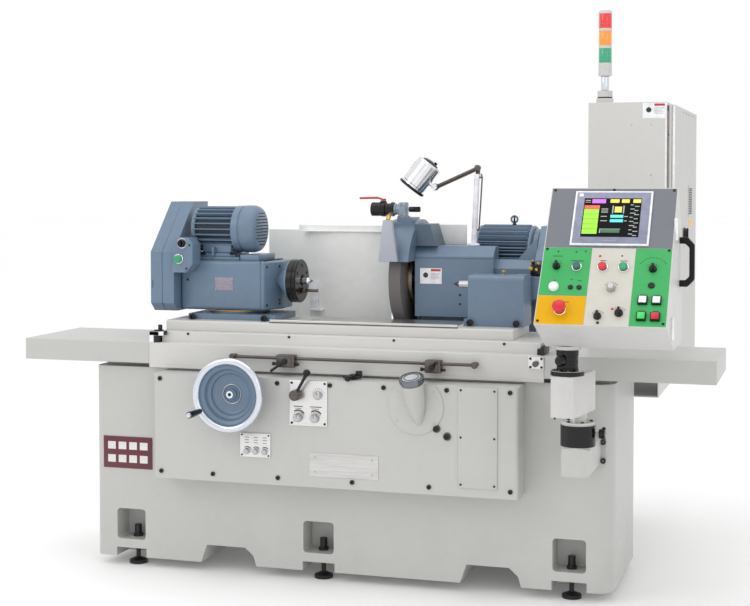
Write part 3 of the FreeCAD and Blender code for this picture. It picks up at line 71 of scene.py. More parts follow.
# ------------------------------------------------------------ solids
class Shape:
    """A solid being built, in the machine's own frame or across, up and out on a face."""

    def __init__(self, face=None):
        self.bm = bmesh.new()
        self.face = face or Matrix()

    def eased(self, verts, soft, steps):
        """Rounds every edge of what was just added."""
        if soft > 0:
            edges = list({edge for vert in verts for edge in vert.link_edges})
            bmesh.ops.bevel(self.bm, geom=edges, offset=soft, segments=steps, affect="EDGES", profile=0.5,
                            clamp_overlap=True)
        return self

    def block(self, xs, ys, zs, soft=0.0, steps=2):
        """A box between two values on each axis."""
        verts = bmesh.ops.create_cube(self.bm, size=1.0)["verts"]
        for vert in verts:
            for axis, (low, high) in enumerate((xs, ys, zs)):
                vert.co[axis] = low + (vert.co[axis] + 0.5) * (high - low)
        return self.eased(verts, soft, steps)

    def spin(self, start, along, profile, sides=40, closed=False):
        """A turned form: (distance along, radius) points taken round an axis."""
        start = Vector(start)
        axis = Vector(along).normalized()
        side = axis.orthogonal().normalized()
        across = axis.cross(side)
        rings = []
        for far, radius in profile:
            middle = start + axis * far
            if radius < 1e-6:
                rings.append([self.bm.verts.new(middle)])
                continue
            turns = [2 * math.pi * k / sides for k in range(sides)]
            rings.append([self.bm.verts.new(middle + (side * math.cos(t) + across * math.sin(t)) * radius)
                          for t in turns])
        pairs = list(zip(rings, rings[1:]))
        if closed:
            pairs.append((rings[-1], rings[0]))
        for low, high in pairs:
            for k in range(sides):
                corners = [low[k % len(low)], low[(k + 1) % len(low)], high[(k + 1) % len(high)],
                           high[k % len(high)]]
                corners = list(dict.fromkeys(corners))
                if len(corners) > 2:
                    self.bm.faces.new(corners)
        for ring in (rings[0], rings[-1]):
            if len(ring) > 1 and not closed:
                self.bm.faces.new(ring)
        return self

    def rod(self, start, end, radius, radius_end=None, soft=0.0, sides=32):
        """A bar or cone between two points, with softened ends."""
        length = (Vector(end) - Vector(start)).length
        last = radius if radius_end is None else radius_end
        if soft > 0:
            profile = [(0, radius - soft), (soft * 0.3, radius - soft * 0.3), (soft, radius),
                       (length - soft, last), (length - soft * 0.3, last - soft * 0.3),
                       (length, last - soft)]
        else:
            profile = [(0, radius), (length, last)]
        return self.spin(start, Vector(end) - Vector(start), profile, sides)

    def ring(self, middle, axis, radius, thick, sides=64, ribs=14):
        """A round bar bent to a ring."""
        profile = [(thick * math.cos(t), radius + thick * math.sin(t))
                   for t in [2 * math.pi * k / ribs for k in range(ribs)]]
        return self.spin(middle, axis, profile, sides, closed=True)

    def ball(self, middle, radius):
        """A ball round a middle."""
        verts = bmesh.ops.create_uvsphere(self.bm, u_segments=24, v_segments=14, radius=radius)["verts"]
        bmesh.ops.translate(self.bm, verts=verts, vec=Vector(middle))
        return self

    def prism(self, outline, push, soft=0.0, steps=2):
        """A flat outline pushed along a way."""
        face = self.bm.faces.new([self.bm.verts.new(Vector(p)) for p in outline])
        grown = bmesh.ops.extrude_face_region(self.bm, geom=[face])["geom"]
        moved = [g for g in grown if isinstance(g, bmesh.types.BMVert)]
        bmesh.ops.translate(self.bm, verts=moved, vec=Vector(push))
        return self.eased(list(face.verts) + moved, soft, steps)

    def arc(self, middle, inner, outer, start, stop, low, high, parts=8):
        """A band round a dial, from start to stop degrees, standing from low to high off the face."""
        turns = [math.radians(start + (stop - start) * k / parts) for k in range(parts + 1)]
        rim = [(middle[0] + outer * math.cos(t), middle[1] + outer * math.sin(t), low) for t in turns]
        back = [(middle[0] + inner * math.cos(t), middle[1] + inner * math.sin(t), low)
                for t in reversed(turns)]
        return self.prism(rim + back, (0, 0, high - low))

    def ticks(self, middle, inner, outer, turns, low, high, wide=1.4):
        """Short bars that point away from a middle, at some turns in degrees."""
        for turn in turns:
            t = math.radians(turn)
            along = Vector((math.cos(t), math.sin(t), 0))
            side = Vector((-math.sin(t), math.cos(t), 0)) * wide / 2
            root = Vector((middle[0], middle[1], low))
            self.prism([root + along * inner - side, root + along * outer - side, root + along * outer + side,
                        root + along * inner + side], (0, 0, high - low))
        return self

    def tube(self, points, radius, sides=16):
        """A round bar through some points."""
        points = [Vector(p) for p in points]
        rings = []
        side = (points[1] - points[0]).orthogonal().normalized()
        for k, point in enumerate(points):
            before = points[max(k - 1, 0)]
            after = points[min(k + 1, len(points) - 1)]
            axis = (after - before).normalized()
            side = (side - axis * side.dot(axis)).normalized()
            across = axis.cross(side)
            turns = [2 * math.pi * j / sides for j in range(sides)]
            rings.append([self.bm.verts.new(point + (side * math.cos(t) + across * math.sin(t)) * radius)
                          for t in turns])
        for low, high in zip(rings, rings[1:]):
            for j in range(sides):
                self.bm.faces.new([low[j], low[(j + 1) % sides], high[(j + 1) % sides], high[j]])
        self.bm.faces.new(rings[0])
        self.bm.faces.new(rings[-1])
        return self

    def made(self, name, finish, body, hides=(), slot=None):
        """Ends the shape: it becomes a piece on its body, and may stand for a CAD node."""
        self.bm.transform(SET_DOWN @ self.face)
        bmesh.ops.recalc_face_normals(self.bm, faces=self.bm.faces)
        mesh = bpy.data.meshes.new(name)
        self.bm.to_mesh(mesh)
        self.bm.free()
        return settle(name, mesh, finish, body, hides)


def placed(name, data):
    """A new object in the scene, at the origin."""
    thing = bpy.data.objects.new(name, data)
    bpy.context.collection.objects.link(thing)
    return thing


def settle(name, mesh, finish, body, hides=()):
    """Gives a mesh its finish and smooth curves, and lets it ride on its body."""
    mesh.materials.clear()
    mesh.materials.append(finish)
    mesh.shade_smooth()
    mesh.set_sharp_from_angle(angle=SMOOTH_PIECE)
    piece = placed(name, mesh)
    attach(piece, body)
    if hides:
        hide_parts(*hides)
    return piece


def baked(piece):
    """The evaluated mesh of a working object, which is then thrown away."""
    bpy.context.view_layer.update()
    graph = bpy.context.evaluated_depsgraph_get()
    mesh = bpy.data.meshes.new_from_object(piece.evaluated_get(graph), depsgraph=graph)
    bpy.data.objects.remove(piece)
    return mesh


def softened(node, finish, soft=2.0, steps=2, shape=None, patches=()):
    """A CAD node's own shape with its edges eased, standing for that node.

    shape moves its corners (mm, machine frame); patches give other finishes to the faces inside a box."""
    copy = frame["nodes"][node].data.copy()
    bm = bmesh.new()
    bm.from_mesh(copy)
    bmesh.ops.remove_doubles(bm, verts=bm.verts, dist=2e-6)
    bmesh.ops.dissolve_limit(bm, angle_limit=ONE_FACE, verts=bm.verts, edges=bm.edges)
    if shape:
        lift = SET_DOWN.inverted()
        for vert in bm.verts:
            vert.co = SET_DOWN @ shape(lift @ vert.co)
    bm.to_mesh(copy)
    bm.free()
    copy.shade_smooth()
    copy.set_sharp_from_angle(angle=SMOOTH_CAD)
    worker = placed("worker", copy)
    if soft > 0:
        bevel = worker.modifiers.new("ease", "BEVEL")
        bevel.width = soft / 1000
        bevel.segments = steps
        bevel.limit_method = "ANGLE"
        bevel.angle_limit = EASED_FROM
        bevel.use_clamp_overlap = True
        bevel.miter_outer = "MITER_ARC"
    weights = worker.modifiers.new("flats", "WEIGHTED_NORMAL")
    weights.keep_sharp = True
    mesh = baked(worker)
    mesh.materials.clear()
    mesh.materials.append(finish)
    for slot, (other, low, high) in enumerate(patches, 1):
        mesh.materials.append(other)
        for face in mesh.polygons:
            spot = SET_DOWN.inverted() @ face.center
            if all(low[k] <= spot[k] <= high[k] for k in range(3)):
                face.material_index = slot
    piece = placed(node + "_skin", mesh)
    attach(piece, HOME[node])
    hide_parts(node)
    return piece


# ------------------------------------------------------------ node trees
def add_node(tree, kind, settings=None, inputs=None, out=0):
    """Any node: its settings first, then the values or links of its sockets."""
    node = tree.nodes.new(kind)
    for key, value in (settings or {}).items():
        setattr(node, key, value)
    for key, value in (inputs or {}).items():
        plug(tree, node.inputs[key], value)
    return Wire(tree, node.outputs[out])


def plug(tree, socket, thing):
    """Links a socket or sets its value."""
    if isinstance(thing, Wire):
        tree.links.new(thing.socket, socket)
    else:
        socket.default_value = thing


class Wire:
    """A socket in a tree, so that a pattern is written as a sum."""

    def __init__(self, tree, socket):
        self.tree = tree
        self.socket = socket

    def math(self, operation, first, second=0.0):
        """One Math node on two values or sockets."""
        return add_node(self.tree, "ShaderNodeMath", {"operation": operation}, {0: first, 1: second})

    def __add__(self, other):
        return self.math("ADD", self, other)

    def __mul__(self, other):
        return self.math("MULTIPLY", self, other)

    def __truediv__(self, other):
        return self.math("DIVIDE", self, other)

    def __rsub__(self, other):
        return self.math("SUBTRACT", other, self)

    __radd__ = __add__
    __rmul__ = __mul__

    def step(self, low, high):
        """0 below low, 1 above high and smooth between them."""
        return add_node(self.tree, "ShaderNodeMapRange", {"interpolation_type": "SMOOTHSTEP"},
                        {"Value": self, "From Min": low, "From Max": high})

    def wave(self, pitch):
        """A sine between 0 and 1 that repeats at each pitch."""
        return self.math("SINE", self * (2 * math.pi / pitch)) * 0.5 + 0.5


def ink(red, green, blue):
    """A colour as it looks, from 0 to 255, as linear light."""
    return tuple((c / 255 / 12.92 if c < 10.3 else ((c / 255 + 0.055) / 1.055) ** 2.4)
                 for c in (red, green, blue)) + (1.0,)


def scaled(colour, amount):
    """The same colour, lighter or darker."""
    return tuple(min(c * amount, 1.0) for c in colour[:3]) + (1.0,)


class Finish:
    """One procedural finish on object coordinates."""

    def __init__(self, name, colour, rough, metallic=0.0, coat=0.0, coat_rough=0.15):
        self.material = bpy.data.materials.new(name)
        self.material.use_nodes = True
        self.tree = self.material.node_tree
        self.skin = self.tree.nodes["Principled BSDF"]
        self.material.diffuse_color = colour
        for key, value in (("Base Color", colour), ("Roughness", rough), ("Metallic", metallic),
                           ("Coat Weight", coat), ("Coat Roughness", coat_rough)):
            self.skin.inputs[key].default_value = value
        self.place = add_node(self.tree, "ShaderNodeTexCoord", out="Object")

    def along(self, axis):
        """The place along one axis."""
        return add_node(self.tree, "ShaderNodeSeparateXYZ", inputs={0: self.place}, out=axis)

    def noise(self, scale, detail=2.0, stretch=(1, 1, 1)):
        """Noise of this scale, finer along an axis where stretch is above 1."""
        where = add_node(self.tree, "ShaderNodeMapping", inputs={"Vector": self.place, "Scale": stretch})
        return add_node(self.tree, "ShaderNodeTexNoise", inputs={
            "Vector": where, "Scale": scale, "Detail": detail})

    def mix(self, amount, first, second):
        """A colour between two others."""
        return add_node(self.tree, "ShaderNodeMix", {"data_type": "RGBA"}, {0: amount, 6: first, 7: second},
                        out=2)

    def feed(self, socket, wire):
        """Links a socket of the finish or sets its value."""
        plug(self.tree, self.skin.inputs[socket], wire)

    def bump(self, height, strength, depth):
        """Relief from a height, as a normal."""
        normal = add_node(self.tree, "ShaderNodeBump", inputs={"Height": height, "Strength": strength,
                                                               "Distance": depth})
        self.feed("Normal", normal)


def paint(name, colour, rough=0.4, peel=0.10, mottle=0.05, coat=0.12, grime=False):
    """Sprayed enamel: faint cloudiness, orange peel and, low down, a little dust."""
    f = Finish(name, colour, rough, coat=coat, coat_rough=0.22)
    cloud = f.noise(2.3, 4.0) * 0.65 + f.noise(31.0, 3.0) * 0.35
    shade = f.mix(cloud.step(0.3, 0.7), scaled(colour, 1 - mottle), scaled(colour, 1 + mottle))
    if grime:
        low = 1 - f.along("Z").step(0.03, 0.42)
        shade = f.mix(low * f.noise(9.0, 5.0).step(0.35, 0.8) * 0.3, shade, scaled(colour, 0.78))
    f.feed("Base Color", shade)
    f.feed("Roughness", rough - 0.05 + f.noise(18.0, 3.0) * 0.12)
    f.bump(f.noise(520.0, 2.0) + f.noise(60.0, 2.0) * 0.6, peel, 0.0006)
    return f.material


def steel(name, colour, rough, stretch=(1, 1, 1), streak=0.35, metallic=1.0, scale=160.0):
    """Ground or turned metal, with fine lines the way that the tool went."""
    f = Finish(name, colour, rough, metallic=metallic)
    lines = f.noise(scale, 4.0, stretch)
    wear = f.noise(7.0, 4.0)
    f.feed("Base Color", f.mix(lines.step(0.3, 0.7), scaled(colour, 1 - streak * 0.5),
                               scaled(colour, 1 + streak * 0.3)))
    f.feed("Roughness", rough - 0.06 + lines * 0.10 + wear * 0.06)
    f.bump(lines, streak * 0.5, 0.0002)
    return f.material


def moulded(name, colour, rough=0.4, grain=0.12, coat=0.0, scale=900.0):
    """Moulded plastic or rubber with a fine grain."""
    f = Finish(name, colour, rough, coat=coat)
    cloud = f.noise(40.0, 3.0)
    f.feed("Base Color", f.mix(cloud.step(0.3, 0.7), scaled(colour, 0.9), scaled(colour, 1.1)))
    f.feed("Roughness", rough - 0.05 + cloud * 0.1)
    f.bump(f.noise(scale, 2.0), grain, 0.0003)
    return f.material


def printed(name, colour, rough=0.38):
    """A screen-printed film: even ink over a faint weave of dots."""
    f = Finish(name, colour, rough, coat=0.15)
    dots = f.along("X").wave(0.004) * f.along("Z").wave(0.004)
    f.feed("Base Color", f.mix(dots * 0.25 + f.noise(25.0, 3.0).step(0.3, 0.7) * 0.5, scaled(colour, 0.96),
                               scaled(colour, 1.05)))
    f.feed("Roughness", rough - 0.04 + f.noise(60.0, 2.0) * 0.1)
    f.bump(dots, 0.04, 0.0002)
    return f.material


def lit(name, colour, strength):
    """A lit patch of the display, in fine rows."""
    f = Finish(name, colour, 0.25, coat=0.6, coat_rough=0.05)
    rows = f.along("Z").wave(0.0022)
    shade = f.mix(rows, scaled(colour, 0.82), scaled(colour, 1.0))
    f.feed("Base Color", shade)
    f.feed("Emission Color", shade)
    f.feed("Emission Strength", strength)
    return f.material


def lens(name, colour):
    """A coloured lens with ribs moulded round its inside."""
    f = Finish(name, colour, 0.12, coat=1.0, coat_rough=0.04)
    ribs = f.along("Z").wave(0.0055)
    shade = f.mix(ribs, scaled(colour, 0.75), scaled(colour, 1.25))
    f.feed("Base Color", shade)
    f.feed("Emission Color", shade)
    f.feed("Emission Strength", 0.18)
    f.bump(ribs, 0.25, 0.0008)
    return f.material


def abrasive(name, colour):
    """Bonded grit, open and dull, with faint bands from dressing."""
    f = Finish(name, colour, 0.85)
    grit = f.noise(850.0, 3.0)
    bands = f.noise(30.0, 2.0, (6, 1, 1))
    f.feed("Base Color", f.mix(grit.step(0.35, 0.65) * 0.6 + bands * 0.4, scaled(colour, 0.72),
                               scaled(colour, 1.25)))
    f.feed("Roughness", 0.78 + grit * 0.15)
    f.bump(grit, 0.7, 0.0008)
    return f.material


PAINT = paint("machine_enamel", ink(185, 185, 182), 0.42, mottle=0.025, grime=True)
LIGHT = paint("light_enamel", ink(202, 201, 198), 0.4, mottle=0.02, grime=True)
BLUE = paint("blue_grey_enamel", ink(98, 119, 140), 0.36, mottle=0.07, coat=0.25)
# A darker copy of the blue-grey enamel for parts that lie in shade: its darkness is painted shade.
SHADED_BLUE = paint("shaded_blue_enamel", ink(70, 88, 105), 0.45, mottle=0.07)
PALE = paint("pale_powder_coat", ink(198, 197, 195), 0.45, peel=0.16)
PANEL = paint("grey_panel_film", ink(116, 119, 125), 0.38, peel=0.03, mottle=0.03)
SHEET = paint("splash_sheet_enamel", ink(240, 240, 237), 0.46, peel=0.05)
NOZZLE = paint("nozzle_enamel", ink(166, 170, 182), 0.4, mottle=0.04)
FITTING = paint("pale_blue_fitting", ink(140, 158, 176), 0.4)
MAROON = paint("maroon_enamel", ink(90, 14, 32), 0.33, coat=0.4)
GROUND = steel("ground_steel", ink(205, 204, 202), 0.3, (0.06, 6, 6))
TURNED = steel("turned_steel", ink(190, 190, 192), 0.26, (8, 1, 8))
PLATE = steel("brushed_plate", ink(222, 221, 220), 0.34, (0.08, 1, 9), 0.25)
CHROME = steel("bright_chrome", ink(228, 229, 232), 0.07, streak=0.04, scale=60.0)
RIM = steel("polished_rim", ink(214, 218, 226), 0.2, (1, 1, 1), 0.1)
DARK_STEEL = steel("oiled_steel", ink(104, 97, 94), 0.38, (0.1, 5, 5), 0.5)
BLACK = steel("black_oxide", ink(34, 34, 36), 0.34, streak=0.3, metallic=0.35)
GLOSS_BLACK = moulded("gloss_black", ink(16, 16, 18), 0.2, 0.04, coat=0.1)
MATT_BLACK = moulded("matt_black", ink(28, 28, 30), 0.55, 0.3)
BRASS = steel("brass", ink(196, 160, 84), 0.28, (1, 1, 1), 0.25)
RED = moulded("red_plastic", ink(206, 34, 52), 0.3, 0.05, coat=0.4)
LEVER_RED = moulded("red_dip", ink(196, 48, 48), 0.4, 0.1, coat=0.2)
GREEN = moulded("green_plastic", ink(24, 150, 96), 0.3, 0.05, coat=0.4)
TEAL = moulded("teal_plastic", ink(18, 88, 92), 0.3, 0.05, coat=0.4)
SEAL = moulded("door_seal_rubber", ink(146, 138, 140), 0.6, 0.05)
WHITE = moulded("white_plastic", ink(232, 233, 236), 0.3, 0.05, coat=0.3)
BRIGHT_GREEN = moulded("lit_green_plastic", ink(40, 206, 84), 0.3, 0.04, coat=0.4)
GREEN_FILM = printed("green_film", ink(64, 170, 96))
ORANGE_FILM = printed("orange_film", ink(222, 168, 4))
CREAM_FILM = printed("cream_film", ink(202, 200, 190))
INK = printed("black_ink", ink(38, 38, 38), 0.5)
RED_INK = printed("red_ink", ink(198, 50, 40), 0.5)
YELLOW_INK = printed("yellow_ink", ink(238, 190, 30), 0.5)
GREY_INK = printed("grey_ink", ink(150, 150, 150), 0.5)
BEZEL = moulded("display_bezel", ink(134, 138, 160), 0.36, 0.08)
GLASS = moulded("display_glass", ink(5, 6, 8), 0.3, 0.01)
CLEAR = moulded("sight_glass", ink(190, 194, 198), 0.08, 0.01, coat=1.0)
ABRASIVE = abrasive("bonded_abrasive", ink(112, 108, 108))
LENS_RED = lens("red_lens", ink(214, 34, 30))
LENS_AMBER = lens("amber_lens", ink(240, 140, 30))
LENS_GREEN = lens("green_lens", ink(20, 150, 110))
MAUVE = steel("etched_plate", ink(150, 140, 156), 0.4, (1, 1, 1), 0.3, metallic=0.5)
SHADE_BLUE = paint("fin_shade_enamel", ink(34, 46, 58), 0.6, mottle=0.05)
SLEEVE = moulded("pale_sleeve", ink(226, 222, 230), 0.35, 0.05, coat=0.2)
SMOKED = steel("smoked_chrome", ink(122, 125, 132), 0.15, streak=0.05, scale=60.0)
# These reflect less than their own roughness alone would give.
for dull, level in ((GLOSS_BLACK, 0.3), (MATT_BLACK, 0.2), (GREEN_FILM, 0.15), (ORANGE_FILM, 0.1),
                    (CREAM_FILM, 0.2), (RED, 0.3), (PANEL, 0.2), (GLASS, 0.12)):
    dull.node_tree.nodes["Principled BSDF"].inputs["Specular IOR Level"].default_value = level


# ------------------------------------------------------------ what repeats
def new_tree(name, sizes):
    """A geometry tree with a mesh in and out and a number for each size; a Count is a whole one."""
    tree = bpy.data.node_groups.new(name, "GeometryNodeTree")
    tree.interface.new_socket("Geometry", in_out="INPUT", socket_type="NodeSocketGeometry")
    tree.interface.new_socket("Geometry", in_out="OUTPUT", socket_type="NodeSocketGeometry")
    for size in sizes:
        kind = "NodeSocketInt" if size == "Count" else "NodeSocketFloat"
        tree.interface.new_socket(size, in_out="INPUT", socket_type=kind)
    enters = tree.nodes.new("NodeGroupInput")
    return tree, {socket.name: Wire(tree, socket) for socket in enters.outputs if socket.name}


def geo(tree, kind, settings=None, inputs=None):
    """A geometry node by its short name."""
    return add_node(tree, "GeometryNode" + kind, settings, inputs)


def joined(tree, parts):
    """Several meshes as one."""
    join = tree.nodes.new("GeometryNodeJoinGeometry")
    for part in parts:
        tree.links.new(part.socket, join.inputs[0])
    return Wire(tree, join.outputs[0])


def close_tree(tree, grown):
    """Ends a tree: real meshes, their finish, the output."""
    whole = geo(tree, "RealizeInstances", inputs={"Geometry": grown})
    coated = geo(tree, "SetMaterial", inputs={"Geometry": whole})
    out = tree.nodes.new("NodeGroupOutput")
    tree.links.new(coated.socket, out.inputs[0])


def vector(tree, x=0.0, y=0.0, z=0.0):
    """A vector from three numbers or sockets."""
    return add_node(tree, "ShaderNodeCombineXYZ", inputs={"X": x, "Y": y, "Z": z})


def on_points(tree, into, template):
    """The template on every point, turned to look the way that the point faces."""
    facing = geo(tree, "InputNamedAttribute", {"data_type": "FLOAT_VECTOR"}, {"Name": "facing"})
    lying = geo(tree, "InputNamedAttribute", {"data_type": "FLOAT_VECTOR"}, {"Name": "lying"})
    turned = add_node(tree, "FunctionNodeAlignRotationToVector", {"axis": "Z"}, {"Vector": facing})
    turned = add_node(tree, "FunctionNodeAlignRotationToVector", {"axis": "X", "pivot_axis": "Z"},
                      {"Rotation": turned, "Vector": lying})
    return geo(tree, "InstanceOnPoints", inputs={"Points": into, "Instance": template,
                                                 "Rotation": turned})


def screw_tree():
    """A socket head: a disc with its crown drawn in and a sunk socket."""
    tree, given = new_tree("socket_heads", ("Radius", "Height", "Socket", "Depth"))
    disc = geo(tree, "MeshCylinder", {"fill_type": "NGON"},
               {"Vertices": 20, "Radius": given["Radius"], "Depth": given["Height"]})
    normal = geo(tree, "InputNormal")
    up = add_node(tree, "ShaderNodeSeparateXYZ", inputs={0: normal}, out=2)
    crown = up.math("GREATER_THAN", up, 0.5)
    rim = geo(tree, "ExtrudeMesh", {"mode": "FACES"},
              {"Mesh": disc, "Selection": crown, "Offset Scale": given["Height"] * 0.15})
    top = Wire(tree, rim.socket.node.outputs["Top"])
    drawn = geo(tree, "ScaleElements", {"domain": "FACE"},
                {"Geometry": rim, "Selection": top, "Scale": 0.86})
    inner = geo(tree, "ExtrudeMesh", {"mode": "FACES"},
                {"Mesh": drawn, "Selection": top, "Offset Scale": 0.0})
    inside = Wire(tree, inner.socket.node.outputs["Top"])
    narrowed = geo(tree, "ScaleElements", {"domain": "FACE"},
                   {"Geometry": inner, "Selection": inside, "Scale": given["Socket"]})
    sunk = geo(tree, "ExtrudeMesh", {"mode": "FACES"},
               {"Mesh": narrowed, "Selection": inside, "Offset Scale": 0 - given["Depth"]})
    close_tree(tree, on_points(tree, given["Geometry"], sunk))
    return tree


def slot_tree():
    """A rounded bar, long across the face that it lies on."""
    tree, given = new_tree("slots", ("Length", "Width", "Height"))
    bar = geo(tree, "MeshCube",
              inputs={"Size": vector(tree, given["Length"], given["Width"], given["Height"])})
    ends = geo(tree, "MeshCylinder", {"fill_type": "NGON"},
               {"Vertices": 12, "Radius": given["Width"] * 0.5, "Depth": given["Height"]})
    near = geo(tree, "Transform", inputs={"Geometry": ends, "Translation": vector(
        tree, given["Length"] * 0.5)})
    far = geo(tree, "Transform", inputs={"Geometry": ends, "Translation": vector(
        tree, given["Length"] * -0.5)})
    close_tree(tree, on_points(tree, given["Geometry"], joined(tree, (bar, near, far))))
    return tree


def fin_tree():
    """Cooling fins that stand out all round a motor shell, along its axis."""
    tree, given = new_tree("fins", ("Count", "Length", "Root", "Height", "Thickness"))
    fin = geo(tree, "MeshCube",
              inputs={"Size": vector(tree, given["Length"], given["Thickness"], given["Height"])})
    edge = geo(tree, "MeshCylinder", {"fill_type": "NGON"},
               {"Vertices": 10, "Radius": given["Thickness"] * 0.5, "Depth": given["Length"]})
    edge = geo(tree, "Transform",
               inputs={"Geometry": edge, "Translation": vector(tree, z=given["Height"] * 0.5),
                       "Rotation": vector(tree, y=math.pi / 2)})
    raised = geo(tree, "Transform",
                 inputs={"Geometry": joined(tree, (fin, edge)),
                         "Translation": vector(tree, z=given["Root"] + given["Height"] * 0.5)})
    points = geo(tree, "Points", inputs={"Count": given["Count"]})
    index = geo(tree, "InputIndex")
    turn = vector(tree, x=index * (2 * math.pi) / given["Count"])
    around = geo(tree, "InstanceOnPoints", inputs={"Points": points, "Instance": raised,
                                                   "Rotation": turn})
    close_tree(tree, around)
    return tree


TREES = {"screws": screw_tree(), "slots": slot_tree(), "fins": fin_tree()}


def grown(name, kind, sizes, finish, body, mesh, place=None):
    """The tree's result for these sizes, as a plain mesh on its body."""
    tree = TREES[kind]
    for node in tree.nodes:
        if node.bl_idname == "GeometryNodeSetMaterial":
            node.inputs["Material"].default_value = finish
    worker = placed("worker", mesh)
    modifier = worker.modifiers.new("grow", "NODES")
    modifier.node_group = tree
    for socket in tree.interface.items_tree:
        if socket.in_out == "INPUT" and socket.name in sizes:
            value = sizes[socket.name]
            modifier[socket.identifier] = value if socket.name in ("Count", "Socket") else value / 1000
    result = baked(worker)
    if place:
        result.transform(place)
    return settle(name, result, finish, body)


def spots(places, face, lying=RIGHT):
    """A mesh of loose points on a face, each with the way that it faces and lies."""
    turn = SET_DOWN @ face
    mesh = bpy.data.meshes.new("spots")
    mesh.from_pydata([tuple(turn @ Vector(place)) for place in places], [], [])
    for name, way in (("facing", OUT), ("lying", lying)):
        direction = (face.to_3x3() @ Vector(way)).normalized()
        layer = mesh.attributes.new(name, "FLOAT_VECTOR", "POINT")
        layer.data.foreach_set("vector", list(direction) * len(places))
    return mesh


def screws(name, places, face, body, radius=7.0, height=6.0, finish=None, socket=0.52):
    """Socket heads standing on a face, at (across, up, out) places."""
    lifted = [(a, u, o + height / 2) for a, u, o in places]
    sizes = {"Radius": radius, "Height": height, "Socket": socket, "Depth": height * 0.7}
    return grown(name, "screws", sizes, finish or BLACK, body, spots(lifted, face))


def slots(name, places, face, body, length, width, height, finish, lying=RIGHT):
    """Rounded bars lying on a face."""
    return grown(name, "slots", {"Length": length, "Width": width, "Height": height}, finish, body,
                 spots(places, face, lying))


def fins(name, middle, count, length, root, height, thick, finish, body):
    """Cooling fins all round a motor whose axis runs along X."""
    seed = bpy.data.meshes.new("spots")
    seed.from_pydata([(0, 0, 0)], [], [])
    place = Matrix.Translation(SET_DOWN @ Vector(middle))
    sizes = {"Count": count, "Length": length, "Root": root, "Height": height, "Thickness": thick}
    return grown(name, "fins", sizes, finish, body, seed, place)


def rows_of(across, up, out=0):
    """Places on a face at each crossing of some columns and rows."""
    return [(a, u, out) for a in across for u in up]


def round_about(across, up, radius, turns, out=0):
    """Places on a face at some turns (radians) round a middle."""
    return [(across + radius * math.cos(t), up + radius * math.sin(t), out) for t in turns]


def rivets(name, finish, face, body, places, profile, sides):
    """Low domed heads on a face."""
    heads = Shape(face)
    for place in places:
        heads.spin(place, OUT, profile, sides)
    heads.made(name, finish, body)


def label(name, face, body, across, up, out, head=ORANGE_FILM, ground=WHITE):
    """A generic notice: a pale plate, a coloured heading, a round sign and grey lines for words."""
    (a0, a1), (u0, u1) = across, up
    wide, tall = a1 - a0, u1 - u0
    Shape(face).block((a0, a1), (u0, u1), (out, out + 0.8), 0.3, 1).made(name + "_plate", ground, body)
    Shape(face).block((a0 + wide * 0.5, a1 - wide * 0.05), (u1 - tall * 0.2, u1 - tall * 0.05),
                      (out + 0.8, out + 1.2)).made(name + "_heading", head, body)
    lines = Shape(face)
    for k in range(5):
        up_k = u1 - tall * (0.32 + 0.09 * k)
        lines.block((a0 + wide * 0.5, a1 - wide * (0.07 + 0.05 * (k % 3))),
                    (up_k - tall * 0.012, up_k + tall * 0.012), (out + 0.8, out + 1.1))
    lines.made(name + "_lines", GREY_INK, body)
    Shape(face).rod((a0 + wide * 0.26, u0 + tall * 0.55, out + 0.8),
                    (a0 + wide * 0.26, u0 + tall * 0.55, out + 1.2), tall * 0.17,
                    sides=24).made(name + "_sign", INK, body)


# ------------------------------------------------------------ bed
APRON = facing_front(-120.0)
BED_FRONT = facing_front(0.0)
TABLE_FRONT = facing_front(-25.0)


def bed():
    """Bed, feet, apron, splash screens, cross slide base and their screws."""
    softened("bed_casting", PAINT, 4.0)
    softened("apron_cover", PAINT, 2.5)
    softened("leveling_feet", BLACK, 1.2)
    softened("splash_guard", SHEET, 1.2)
    softened("wheelhead_base", GROUND, 2.0)
    rows = [(x, 769, 0) for x in (334, 813, 1021, 1228, 1466, 1699)]
    rows += [(x, 413, 0) for x in (338, 552, 815, 1107, 1400, 1701)]
    heads = screws("apron_screws", rows, APRON, "bed", 8.5, 5.0)
    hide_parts("front_screws")
    access = Shape(APRON).block((1509, 1653), (418, 784), (0, 5), 1.2)
    access.made("access_cover", PAINT, "bed", ["front_plates"], "machine_paint")
    screws("access_cover_screws", rows_of((1519, 1643), (430, 601, 772), 5), APRON, "bed", 4.0, 1.6)
    strip = Shape().block((708, 744), (540, 562), (984, 1104), 2).block(
        (708, 768), (528, 562), (984, 992), 1.5)
    strip.made("guard_bracket", WHITE, "bed")
    Shape().rod((1428, -124, 628), (1428, -120, 628), 15, soft=1).rod(
        (1468, -124, 601), (1468, -120, 601), 15, soft=1).made("drain_washers", DARK_STEEL, "bed")
    screws("drain_screws", [(1428, 628, 4), (1468, 601, 4)], APRON, "bed", 11.0, 6.0)


def badge():
    """A plain maroon plate with two rows of raised blocks in place of any name."""
    Shape(BED_FRONT).block((32, 243), (389, 515), (0, 3), 1.5).made("badge_plate", MAROON, "bed")
    bars = Shape(BED_FRONT)
    for low in (412, 464):
        for k in range(4):
            bars.block((52 + 46 * k, 86 + 46 * k), (low, low + 30), (3, 4.6), 1.2)
    bars.made("badge_bars", PLATE, "bed")


